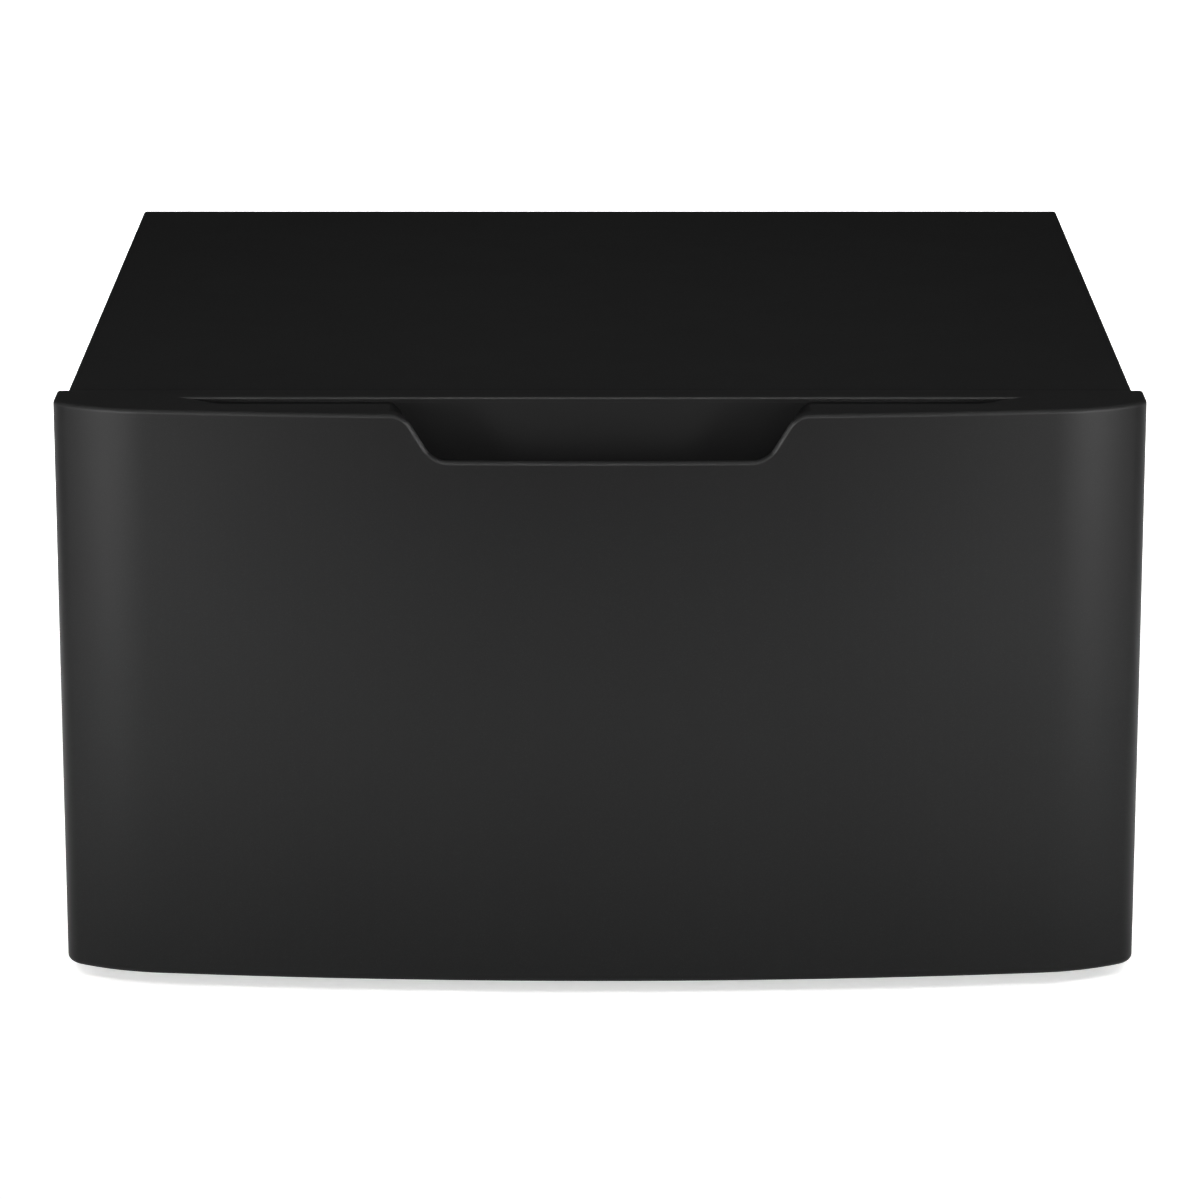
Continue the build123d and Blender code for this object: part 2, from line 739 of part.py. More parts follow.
# Drawer floor with pressed beads, resting on the lower flanges of the sides
floor_half = drawer_half - drawer_bend - lap
floor_low = drawer_bottom + drawer_sheet
floor_front = drawer_front_y + drawer_bend + lap
floor_back = drawer_back_y - drawer_bend - lap
floor_middle = (floor_front + floor_back) / 2
bead_pitch = 2 * (floor_half - floor_bead_margin) / (floor_bead_count - 1)
bead_length = floor_back - floor_front - 2 * floor_bead_margin
with BuildPart() as drawer_floor:
    with BuildSketch(Plane.XY.offset(floor_low)):
        with Locations((0, floor_middle)):
            Rectangle(2 * floor_half, floor_back - floor_front)
    extrude(amount=drawer_sheet)
    with BuildSketch(Plane.XY.offset(floor_low)):
        with Locations((0, floor_middle)):
            with GridLocations(bead_pitch, 0, floor_bead_count, 1):
                SlotOverall(bead_length, floor_bead_width, rotation=90)
    extrude(amount=drawer_sheet + floor_bead_height)
    with BuildSketch(Plane.XY.offset(floor_low)):
        with Locations((0, floor_middle)):
            with GridLocations(bead_pitch, 0, floor_bead_count, 1):
                SlotOverall(
                    bead_length - 2 * drawer_sheet, floor_bead_width - 2 * drawer_sheet, rotation=90
                )
    extrude(amount=floor_bead_height, mode=Mode.SUBTRACT)
keep(drawer_floor, "drawer_floor")

# Drawer back: a tray that opens to the front, between the floor and the upper flanges
back_low = floor_low + drawer_sheet
back_high = drawer_top - drawer_sheet - lap
back_face = Plane(
    origin=(0, drawer_back_y - drawer_sheet - lap, (back_low + back_high) / 2),
    x_dir=(1, 0, 0),
    z_dir=(0, -1, 0),
)
drawer_back = folded_tray(
    back_face, 2 * floor_half, back_high - back_low, drawer_flange, drawer_sheet, drawer_bend
)
keep(drawer_back, "drawer_back")

# Outer form of the drawer front, and the hollow in it with the screw bosses left standing
front_sketch = front_outline(0)
hollow_sketch = front_outline(front_wall)
with BuildPart() as front_form:
    with BuildSketch(Plane.XY.offset(front_bottom)):
        add(front_sketch)
    extrude(amount=front_height)
    rounded = front_form.edges().filter_by(lambda edge: edge.center().Y < rim_y - on_plane)
    fillet(rounded.group_by(Axis.Z)[-1], radius=top_edge_radius)
    rounded = front_form.edges().filter_by(lambda edge: edge.center().Y < rim_y - on_plane)
    fillet(rounded.group_by(Axis.Z)[0], radius=bottom_edge_radius)
with BuildPart() as front_hollow:
    with BuildSketch(Plane.XY.offset(front_bottom + front_wall)):
        add(hollow_sketch)
    extrude(amount=front_height - 2 * front_wall)
    with BuildSketch(facing_front(rim_y - sheet)):
        with Locations(*boss_points):
            Circle(boss_radius)
    extrude(amount=front_depth, mode=Mode.SUBTRACT)

# Drawer front with the pocket's opening and the finger notch
opening_sketch = pocket_outline(pocket_rear, pocket_rear_half, pocket_front_half, pocket_lip)
notch_sketch = notch_outline(0)
boss_holes = pegs(facing_front(rim_y), boss_points, screw_radius, boss_screw_length)
with BuildPart() as drawer_front:
    add(front_form.part)
    add(front_hollow.part, mode=Mode.SUBTRACT)
    add(boss_holes.part, mode=Mode.SUBTRACT)
    with BuildSketch(Plane.XY.offset(overall_height)):
        add(opening_sketch)
    extrude(amount=-front_wall, mode=Mode.SUBTRACT)
    top_edges = drawer_front.edges().group_by(Axis.Z)[-1]
    rear_edge = top_edges.filter_by(lambda edge: abs(edge.center().Y - pocket_rear_y) < on_plane)
    fillet(rear_edge, radius=pocket_edge_radius)
    with BuildSketch(facing_front(pocket_rear_y)):
        add(notch_sketch)
    extrude(amount=front_depth, mode=Mode.SUBTRACT)
keep(drawer_front, "drawer_front")

# Hand pocket: a ledge under the opening and a trough behind the notch
ledge_sketch = pocket_outline(
    pocket_rear - pocket_ledge,
    pocket_rear_half + pocket_ledge,
    pocket_front_half + pocket_ledge,
    pocket_skin,
)
skin_sketch = front_outline(pocket_skin)
trough_limit = front_outline(pocket_skin + pocket_wall)
trough_outside = trough_outline(pocket_wall)
trough_inside = trough_outline(0)
setback_sketch = notch_outline(trough_setback)
with BuildPart() as trough_hollow:
    with BuildSketch(facing_front(pocket_rear_y)):
        add(trough_inside)
    extrude(amount=front_depth)
    with BuildSketch(Plane.XY.offset(pocket_floor)):
        add(trough_limit)
    extrude(amount=pocket_depth, mode=Mode.INTERSECT)
with BuildPart() as handle_pocket:
    with BuildSketch(Plane.XY.offset(ledge_z)):
        add(ledge_sketch)
    extrude(amount=-pocket_wall)
    with BuildSketch(facing_front(pocket_rear_y + pocket_wall)):
        add(trough_outside)
    extrude(amount=front_depth)
    with BuildSketch(Plane.XY.offset(ledge_z)):
        add(skin_sketch)
    extrude(amount=-pocket_depth, mode=Mode.INTERSECT)
    add(trough_hollow.part, mode=Mode.SUBTRACT)
    with BuildSketch(facing_front(pocket_rear_y - pocket_wall)):
        add(setback_sketch)
    extrude(amount=front_depth, mode=Mode.SUBTRACT)
keep(handle_pocket, "handle_pocket")

# Backing panel that closes the drawer front and carries the drawer box
backing_face = Plane(origin=(0, rim_y, front_middle), x_dir=(1, 0, 0), z_dir=(0, -1, 0))
backing_tray = folded_tray(
    backing_face,
    2 * (half_width - front_wall - backing_fit),
    front_height - 2 * (front_wall + backing_fit),
    backing_flange,
    sheet,
    bend,
)
backing_holes = pegs(facing_front(rim_y), boss_points + box_points, screw_hole, 2 * sheet)
with BuildPart() as backing_panel:
    add(backing_tray.part)
    add(backing_holes.part, mode=Mode.SUBTRACT)
keep(backing_panel, "backing_panel")

# Screws, as groups of identical fasteners
keep(pan_screws(facing_back(rim_y), boss_points, boss_screw_length), "backing_screws")
keep(pan_screws(facing_back(drawer_front_y + drawer_sheet), box_points, screw_length), "drawer_box_screws")
keep(pan_screws(facing_back(side_back + sheet), rear_points, screw_length), "rear_panel_screws")
keep(pan_screws(facing_back(cabinet_back), deck_points, screw_length), "deck_screws")
outer_screws = pan_screws(facing_in(support_face - slide_gauge), outer_slide_points, screw_length)
keep_both_sides(outer_screws, "outer_slide_screws")
facing_out = Plane(origin=(drawer_half + slide_gauge, 0, 0), x_dir=(0, 1, 0), z_dir=(1, 0, 0))
inner_points = [(-y, z) for y, z in inner_slide_points]
keep_both_sides(pan_screws(facing_out, inner_points, screw_length), "inner_slide_screws")
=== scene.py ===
import json
import logging
import math
from collections.abc import Callable
from dataclasses import dataclass, replace
from enum import Enum

import bmesh
import bpy
from mathutils import Matrix, Vector


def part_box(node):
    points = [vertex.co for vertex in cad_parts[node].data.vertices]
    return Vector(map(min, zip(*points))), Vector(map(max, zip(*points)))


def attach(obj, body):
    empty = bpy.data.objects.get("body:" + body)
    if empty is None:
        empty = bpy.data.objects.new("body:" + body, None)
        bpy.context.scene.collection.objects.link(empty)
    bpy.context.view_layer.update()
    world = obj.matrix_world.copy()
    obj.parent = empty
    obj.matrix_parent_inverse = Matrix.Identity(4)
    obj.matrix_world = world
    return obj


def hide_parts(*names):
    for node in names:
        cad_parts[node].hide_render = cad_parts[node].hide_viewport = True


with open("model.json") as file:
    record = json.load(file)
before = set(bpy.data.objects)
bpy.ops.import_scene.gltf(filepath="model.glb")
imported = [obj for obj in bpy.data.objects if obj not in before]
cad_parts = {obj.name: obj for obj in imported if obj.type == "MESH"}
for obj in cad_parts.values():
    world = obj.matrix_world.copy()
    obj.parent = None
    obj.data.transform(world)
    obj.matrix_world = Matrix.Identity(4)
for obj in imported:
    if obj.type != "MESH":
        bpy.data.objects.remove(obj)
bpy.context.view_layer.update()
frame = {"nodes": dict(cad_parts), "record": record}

# A laundry pedestal: a charcoal sheet-metal stand with one storage drawer behind a bowed, moulded front.
# Metres. X runs along the width, Y from the front to the back, Z up from the floor.

LOG = logging.getLogger("laundry_pedestal")
NEAR = 1e-5
# Point attribute that masks the painted highlight laid on the bevelled edges of the drawer front
EDGE_HIGHLIGHT = "painted_edge_highlight"

Point = tuple[float, float, float]
Colour = tuple[float, float, float]
Span = tuple[float, float]
NodeInputs = dict[str | int, object]


class Side(Enum):
    """Left or right half, seen from the front."""

    LEFT = -1
    RIGHT = 1

    def node(self, name: str) -> str:
        """Name of a node of this side."""
        return f"{name}_{self.name.lower()}"


class Slot(Enum):
    """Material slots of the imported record."""

    CHARCOAL_PAINT = "charcoal_paint"
    CHARCOAL_MOULDING = "charcoal_moulding"
    GREY_PAINT = "grey_paint"
    ZINC_STEEL = "zinc_steel"
    FASTENER_STEEL = "fastener_steel"
    BALL_STEEL = "ball_steel"
    CAGE_PLASTIC = "cage_plastic"
    BLACK_PLASTIC = "black_plastic"
    RUBBER = "rubber"


class Socket(Enum):
    """Types of the sockets of a shader group."""

    VECTOR = "NodeSocketVector"
    NUMBER = "NodeSocketFloat"
    COLOUR = "NodeSocketColor"


class Wiring:
    """The nodes of one shader tree, added and joined by name."""

    # Places of the colour sockets of a mix node, which share their names with others
    MIX_FIRST = 6
    MIX_SECOND = 7
    MIX_RESULT = 2

    def __init__(self, tree: bpy.types.NodeTree) -> None:
        """Start on an emptied tree."""
        self.tree = tree
        tree.nodes.clear()

    def add(self, kind: str, inputs: NodeInputs | None = None, **settings: object) -> bpy.types.Node:
        """Add one node.

        Args:
            kind: Type of the node.
            inputs: Values of its inputs, or sockets to link them from.
            settings: Properties of the node itself.

        Returns:
            The new node.
        """
        node = self.tree.nodes.new(kind)
        for key, value in settings.items():
            setattr(node, key, value)
        for key, value in (inputs or {}).items():
            if isinstance(value, bpy.types.NodeSocket):
                self.tree.links.new(value, node.inputs[key])
            else:
                node.inputs[key].default_value = value
        return node

    def maths(self, operation: str, first: object, second: object = 0.0) -> bpy.types.NodeSocket:
        """Add a maths node.

        Args:
            operation: What it works out.
            first: First value or socket.
            second: Second value or socket.

        Returns:
            The result's socket.
        """
        return self.add("ShaderNodeMath", {0: first, 1: second}, operation=operation).outputs[0]

    def mix(self, share: object, first: object, second: object) -> bpy.types.NodeSocket:
        """Add a node that mixes two colours.

        Args:
            share: Share of the second colour, as a value or socket.
            first: First colour or socket.
            second: Second colour or socket.

        Returns:
            The mixed colour's socket.
        """
        inputs = {"Factor": share, self.MIX_FIRST: first, self.MIX_SECOND: second}
        return self.add("ShaderNodeMix", inputs, data_type="RGBA").outputs[self.MIX_RESULT]

    def noise(
        self, place: bpy.types.NodeSocket, scale: object, detail: float, roughness: float
    ) -> bpy.types.NodeSocket:
        """Add a noise texture.

        Args:
            place: Socket of the coordinates.
            scale: Scale, as a value or socket.
            detail: Number of finer layers.
            roughness: How strong the finer layers are.

        Returns:
            The noise's socket.
        """
        inputs = {"Vector": place, "Scale": scale, "Detail": detail, "Roughness": roughness}
        return self.add("ShaderNodeTexNoise", inputs).outputs["Fac"]

    def remap(
        self, value: bpy.types.NodeSocket, span: Span, low: object, high: object, run: str = "LINEAR"
    ) -> bpy.types.NodeSocket:
        """Add a node that carries a span of values over to another.

        Args:
            value: Socket of the value.
            span: The value's span.
            low: Result at the start of the span, as a value or socket.
            high: Result at its end, as a value or socket.
            run: How the result runs in between.

        Returns:
            The result's socket.
        """
        inputs = {"Value": value, "From Min": span[0], "From Max": span[1], "To Min": low, "To Max": high}
        return self.add("ShaderNodeMapRange", inputs, interpolation_type=run).outputs["Result"]


def rgba(colour: Colour) -> tuple[float, float, float, float]:
    """Colour with full opacity."""
    return (*colour, 1.0)


WHITE = rgba((1.0, 1.0, 1.0))


@dataclass
class SharedEffects:
    """Shader groups that more than one finish uses, each built once."""

    fleck_core: float = 0.42
    fine_share: float = 0.5
    drift_scale: float = 9.0
    drift_span: Span = (0.4, 1.1)
    streak_scale: float = 1.0
    bloom_scale: float = 70.0
    tint_span: Span = (0.7, 1.3)
    gloss_span: Span = (0.6, 1.4)

    def __post_init__(self) -> None:
        """Build the groups."""
        self.fleck = self._fleck()
        self.grain = self._grain()
        self.rolled = self._rolled()

    @staticmethod
    def _open(
        name: str, inputs: dict[str, Socket], outputs: dict[str, Socket]
    ) -> tuple[Wiring, bpy.types.NodeOutputs]:
        """Start a group with named sockets.

        Args:
            name: Name of the group.
            inputs: Socket type of each input.
            outputs: Socket type of each output.

        Returns:
            The group's wiring and the sockets of its inputs.
        """
        tree = bpy.data.node_groups.new(name, "ShaderNodeTree")
        for way, sockets in (("INPUT", inputs), ("OUTPUT", outputs)):
            for label, kind in sockets.items():
                tree.interface.new_socket(name=label, in_out=way, socket_type=kind.value)
        wiring = Wiring(tree)
        return wiring, wiring.add("NodeGroupInput").outputs

    def _fleck(self) -> bpy.types.NodeTree:
        """Metallic flecks in a paint: cells of a fine pattern, lighter than the rest.

        Returns:
            The group.
        """
        wiring, given = self._open(
            "metallic_fleck",
            {
                "Vector": Socket.VECTOR,
                "Scale": Socket.NUMBER,
                "Share": Socket.NUMBER,
                "Ground": Socket.COLOUR,
                "Fleck": Socket.COLOUR,
            },
            {"Color": Socket.COLOUR},
        )
        cells = wiring.add(
            "ShaderNodeTexVoronoi", {"Vector": given["Vector"], "Scale": given["Scale"]}, feature="F1"
        )
        draw = wiring.add("ShaderNodeSeparateColor", {"Color": cells.outputs["Color"]})
        kept = wiring.maths("LESS_THAN", draw.outputs["Red"], given["Share"])
        core = wiring.maths("LESS_THAN", cells.outputs["Distance"], self.fleck_core)
        strength = wiring.maths("MULTIPLY", kept, draw.outputs["Green"])
        mask = wiring.maths("MULTIPLY", strength, core)
        wiring.add("NodeGroupOutput", {"Color": wiring.mix(mask, given["Ground"], given["Fleck"])})
        return wiring.tree

    def _grain(self) -> bpy.types.NodeTree:
        """Fine moulded or sprayed grain: a height, and a roughness that drifts over the surface.

        Returns:
            The group.
        """
        wiring, given = self._open(
            "fine_grain",
            {"Vector": Socket.VECTOR, "Scale": Socket.NUMBER, "Low": Socket.NUMBER, "High": Socket.NUMBER},
            {"Height": Socket.NUMBER, "Roughness": Socket.NUMBER},
        )
        fine = wiring.noise(given["Vector"], given["Scale"], detail=3.0, roughness=0.6)
        broad = wiring.noise(given["Vector"], self.drift_scale, detail=4.0, roughness=0.55)
        blend = wiring.maths("ADD", wiring.maths("MULTIPLY", fine, self.fine_share), broad)
        drift = wiring.remap(blend, self.drift_span, given["Low"], given["High"])
        wiring.add("NodeGroupOutput", {"Height": fine, "Roughness": drift})
        return wiring.tree

    def _rolled(self) -> bpy.types.NodeTree:
        """Rolled, zinc-plated steel: long faint streaks and a cloudy bloom.

        Returns:
            The group.
        """
        wiring, given = self._open(
            "rolled_zinc",
            {
                "Vector": Socket.VECTOR,
                "Streak": Socket.VECTOR,
                "Dark": Socket.COLOUR,
                "Light": Socket.COLOUR,
                "Low": Socket.NUMBER,
                "High": Socket.NUMBER,
            },
            {"Color": Socket.COLOUR, "Roughness": Socket.NUMBER, "Height": Socket.NUMBER},
        )
        drawn = wiring.add(
            "ShaderNodeVectorMath", {0: given["Vector"], 1: given["Streak"]}, operation="MULTIPLY"
        )
        streaks = wiring.noise(drawn.outputs["Vector"], self.streak_scale, detail=3.0, roughness=0.6)
        bloom = wiring.noise(given["Vector"], self.bloom_scale, detail=4.0, roughness=0.6)
        blend = wiring.maths("ADD", streaks, bloom)
        tint = wiring.mix(wiring.remap(blend, self.tint_span, 0.0, 1.0), given["Dark"], given["Light"])
        rough = wiring.remap(blend, self.gloss_span, given["High"], given["Low"])
        wiring.add("NodeGroupOutput", {"Color": tint, "Roughness": rough, "Height": streaks})
        return wiring.tree


EFFECTS = SharedEffects()


def begin_material(name: str) -> tuple[bpy.types.Material, Wiring, bpy.types.NodeSocket]:
    """Start a node material.

    Args:
        name: Name of the material.

    Returns:
        The material, its wiring and the socket of the object's own coordinates.
    """
    material = bpy.data.materials.new(name)
    material.use_nodes = True
    wiring = Wiring(material.node_tree)
    place = wiring.add("ShaderNodeTexCoord").outputs["Object"]
    return material, wiring, place


def end_material(wiring: Wiring, shader: bpy.types.Node) -> None:
    """Join a finished shader to the material's output."""
    wiring.add("ShaderNodeOutputMaterial", {"Surface": shader.outputs[0]})


def coat(wiring: Wiring, relief: bpy.types.Node, depth: float, inputs: NodeInputs) -> None:
    """End a material with a shader that takes its roughness and its bumps from a group.

    Args:
        wiring: The material's wiring.
        relief: The group's node.
        depth: Depth of the bumps.
        inputs: The shader's other inputs.
    """
    bump = wiring.add(
        "ShaderNodeBump", {"Strength": 1.0, "Distance": depth, "Height": relief.outputs["Height"]}
    )
    surface = {"Roughness": relief.outputs["Roughness"], "Normal": bump.outputs["Normal"]}
    end_material(wiring, wiring.add("ShaderNodeBsdfPrincipled", {**inputs, **surface}))


@dataclass(frozen=True)
class PaintFinish:
    """A paint or coloured moulding with a fine grain, metallic flecks and, where given, a painted highlight
    on its bevelled edges.
    """

    slot: Slot
    ground: Colour
    fleck: Colour
    fleck_scale: float
    fleck_share: float
    grain_scale: float
    grain_depth: float
    roughness: Span
    specular: float = 0.5
    # Lighter colour painted along bevelled edges as a highlight, or None for no painted highlight
    edge_highlight: Colour | None = None

    def material(self) -> bpy.types.Material:
        """Build the finish as a node material.

        Returns:
            The material.
        """
        material, wiring, place = begin_material(f"{self.slot.value}_finish")
        fleck = wiring.add(
            "ShaderNodeGroup",
            {
                "Vector": place,
                "Scale": self.fleck_scale,
                "Share": self.fleck_share,
                "Ground": rgba(self.ground),
                "Fleck": rgba(self.fleck),
            },
            node_tree=EFFECTS.fleck,
        )
        low, high = self.roughness
        grain = wiring.add(
            "ShaderNodeGroup",
            {"Vector": place, "Scale": self.grain_scale, "Low": low, "High": high},
            node_tree=EFFECTS.grain,
        )
        colour = fleck.outputs["Color"]
        # Painted highlight: a lighter colour mixed in along the bevelled edges, standing in for the sheen of
        # the rounded edges
        if self.edge_highlight:
            painted_highlight = wiring.add("ShaderNodeAttribute", attribute_name=EDGE_HIGHLIGHT)
            colour = wiring.mix(painted_highlight.outputs["Fac"], colour, rgba(self.edge_highlight))
        coat(wiring, grain, self.grain_depth, {"Base Color": colour, "Specular IOR Level": self.specular})
        return material


@dataclass(frozen=True)
class SteelFinish:
    """Zinc-plated or polished steel."""

    slot: Slot
    dark: Colour
    light: Colour
    streak: Point
    roughness: Span
    depth: float = 0.00001

    def material(self) -> bpy.types.Material:
        """Build the finish as a node material.

        Returns:
            The material.
        """
        material, wiring, place = begin_material(f"{self.slot.value}_finish")
        low, high = self.roughness
        rolled = wiring.add(
            "ShaderNodeGroup",
            {
                "Vector": place,
                "Streak": self.streak,
                "Dark": rgba(self.dark),
                "Light": rgba(self.light),
                "Low": low,
                "High": high,
            },
            node_tree=EFFECTS.rolled,
        )
        coat(wiring, rolled, self.depth, {"Base Color": rolled.outputs["Color"], "Metallic": 1.0})
        return material


CHARCOAL_PAINT = PaintFinish(
    slot=Slot.CHARCOAL_PAINT,
    ground=(0.0105, 0.0105, 0.0105),
    fleck=(0.029, 0.029, 0.029),
    fleck_scale=1700.0,
    fleck_share=0.5,
    grain_scale=700.0,
    grain_depth=0.00002,
    roughness=(0.57, 0.63),
    specular=0.08,
)
CHARCOAL_MOULDING = replace(
    CHARCOAL_PAINT,
    slot=Slot.CHARCOAL_MOULDING,
    ground=(0.0031, 0.0031, 0.0031),
    fleck=(0.0085, 0.0085, 0.0085),
    roughness=(0.43, 0.49),
    specular=0.15,
    # Painted highlight colour for the moulding's rounded edges
    edge_highlight=(0.09, 0.09, 0.09),
)
GREY_PAINT = PaintFinish(
    slot=Slot.GREY_PAINT,
    ground=(0.25, 0.255, 0.262),
    fleck=(0.28, 0.285, 0.292),
    fleck_scale=1500.0,
    fleck_share=0.2,
    grain_scale=520.0,
    grain_depth=0.00003,
    roughness=(0.36, 0.46),
)
CAGE_PLASTIC = PaintFinish(
    slot=Slot.CAGE_PLASTIC,
    ground=(0.55, 0.53, 0.47),
    fleck=(0.6, 0.58, 0.53),
    fleck_scale=500.0,
    fleck_share=0.3,
    grain_scale=900.0,
    grain_depth=0.00001,
    roughness=(0.38, 0.5),
)
BLACK_PLASTIC = PaintFinish(
    slot=Slot.BLACK_PLASTIC,
    ground=(0.012, 0.012, 0.012),
    fleck=(0.02, 0.02, 0.02),
    fleck_scale=900.0,
    fleck_share=0.2,
    grain_scale=1200.0,
    grain_depth=0.00002,
    roughness=(0.4, 0.52),
)
RUBBER = PaintFinish(
    slot=Slot.RUBBER,
    ground=(0.014, 0.014, 0.0138),
    fleck=(0.03, 0.03, 0.029),
    fleck_scale=800.0,
    fleck_share=0.12,
    grain_scale=1000.0,
    grain_depth=0.00004,
    roughness=(0.68, 0.82),
    specular=0.35,
)
ZINC_STEEL = SteelFinish(
    slot=Slot.ZINC_STEEL,
    dark=(0.42, 0.43, 0.45),
    light=(0.62, 0.63, 0.65),
    streak=(900.0, 14.0, 900.0),
    roughness=(0.26, 0.42),
)
FASTENER_STEEL = SteelFinish(
    slot=Slot.FASTENER_STEEL,
    dark=(0.4, 0.4, 0.41),
    light=(0.6, 0.6, 0.61),
    streak=(500.0, 500.0, 500.0),
    roughness=(0.22, 0.38),
)
BALL_STEEL = SteelFinish(
    slot=Slot.BALL_STEEL,
    dark=(0.62, 0.62, 0.63),
    light=(0.7, 0.7, 0.71),
    streak=(300.0, 300.0, 300.0),
    roughness=(0.06, 0.12),
    depth=0.000001,
)
FINISHES = (
    CHARCOAL_PAINT,
    CHARCOAL_MOULDING,
    GREY_PAINT,
    CAGE_PLASTIC,
    BLACK_PLASTIC,
    RUBBER,
    ZINC_STEEL,
    FASTENER_STEEL,
    BALL_STEEL,
)


class Palette:
    """Every finish as a material, and the ways to give them out."""

    def __init__(self) -> None:
        """Build each finish once."""
        self.materials = {finish.slot: finish.material() for finish in FINISHES}

    def dress_nodes(self) -> int:
        """Give every CAD node the finish of its slot.

        Returns:
            How many nodes were dressed.
        """
        rows = frame["record"]["subparts"]
        for row in rows:
            self._give(frame["nodes"][row["node"]], Slot(row["material_slot"]))
        return len(rows)

    def settle(self, piece: bpy.types.Object, slot: Slot, body: str, *nodes: str) -> None:
        """Finish a new piece.

        Args:
            piece: The piece.
            slot: Its material slot.
            body: The CAD body that it rides on.
            nodes: The CAD nodes that it stands for.
        """
        self._give(piece, slot)
        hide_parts(*nodes)
        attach(piece, body)
        LOG.info("%s: %d faces", piece.name, len(piece.data.polygons))

    def _give(self, piece: bpy.types.Object, slot: Slot) -> None:
        """Give a piece one material."""
        piece.data.materials.clear()
        piece.data.materials.append(self.materials[slot])


@dataclass(frozen=True)
class SoftBox:
    """One area lamp of the studio."""

    name: str
    place: Point
    target: Point
    width: float
    height: float
    power: float
    spread: float = 180.0

    def hang(self) -> None:
        """Hang the lamp, facing its target."""
        bpy.ops.object.light_add(type="AREA", location=self.place)
        lamp = bpy.context.object
        lamp.name = self.name
        lamp.data.shape = "RECTANGLE"
        lamp.data.size = self.width
        lamp.data.size_y = self.height
        lamp.data.energy = self.power
        lamp.data.spread = math.radians(self.spread)
        way = Vector(self.target) - Vector(self.place)
        lamp.rotation_euler = way.to_track_quat("-Z", "Y").to_euler()

    def both_sides(self) -> "list[SoftBox]":
        """Give a lamp of the right side a twin on the left.

        Returns:
            The left lamp and the right lamp, each named after its side.
        """
        lamps = []
        for side in Side:
            place, target = ((side.value * spot[0], *spot[1:]) for spot in (self.place, self.target))
            lamps.append(replace(self, name=f"{side.name.lower()}_{self.name}", place=place, target=target))
        return lamps


SOFT_BOXES = (
    SoftBox("top_box", (0.0, -0.95, 2.1), (0.0, -0.33, 0.39), width=2.4, height=0.8, power=12.0),
    SoftBox("front_box", (0.0, -3.2, 1.5), (0.0, -0.3, 0.25), width=2.4, height=0.5, power=43.0),
    SoftBox(
        "front_beam", (0.0, -3.2, 1.5), (0.0, -0.336, 0.165), width=2.4, height=0.1, power=2.3, spread=8.0
    ),
    *SoftBox(
        "strip", (1.1156, -1.2959, 0.45), (0.28, -0.3, 0.315), width=0.3, height=0.35, power=1.05, spread=34.0
    ).both_sides(),
    SoftBox("rim_box", (0.0, 2.4, 2.0), (0.0, -0.6, 0.0), width=2.4, height=0.8, power=2.3),
    SoftBox(
        "back_floor_box", (0.0, 2.3, 3.0), (0.0, 2.3, 0.0), width=3.0, height=1.2, power=14.0, spread=50.0
    ),
    *SoftBox(
        "floor_box", (0.8, 0.5, 2.6), (0.8, 0.5, 0.0), width=0.1, height=2.2, power=4.0, spread=20.0
    ).both_sides(),
)


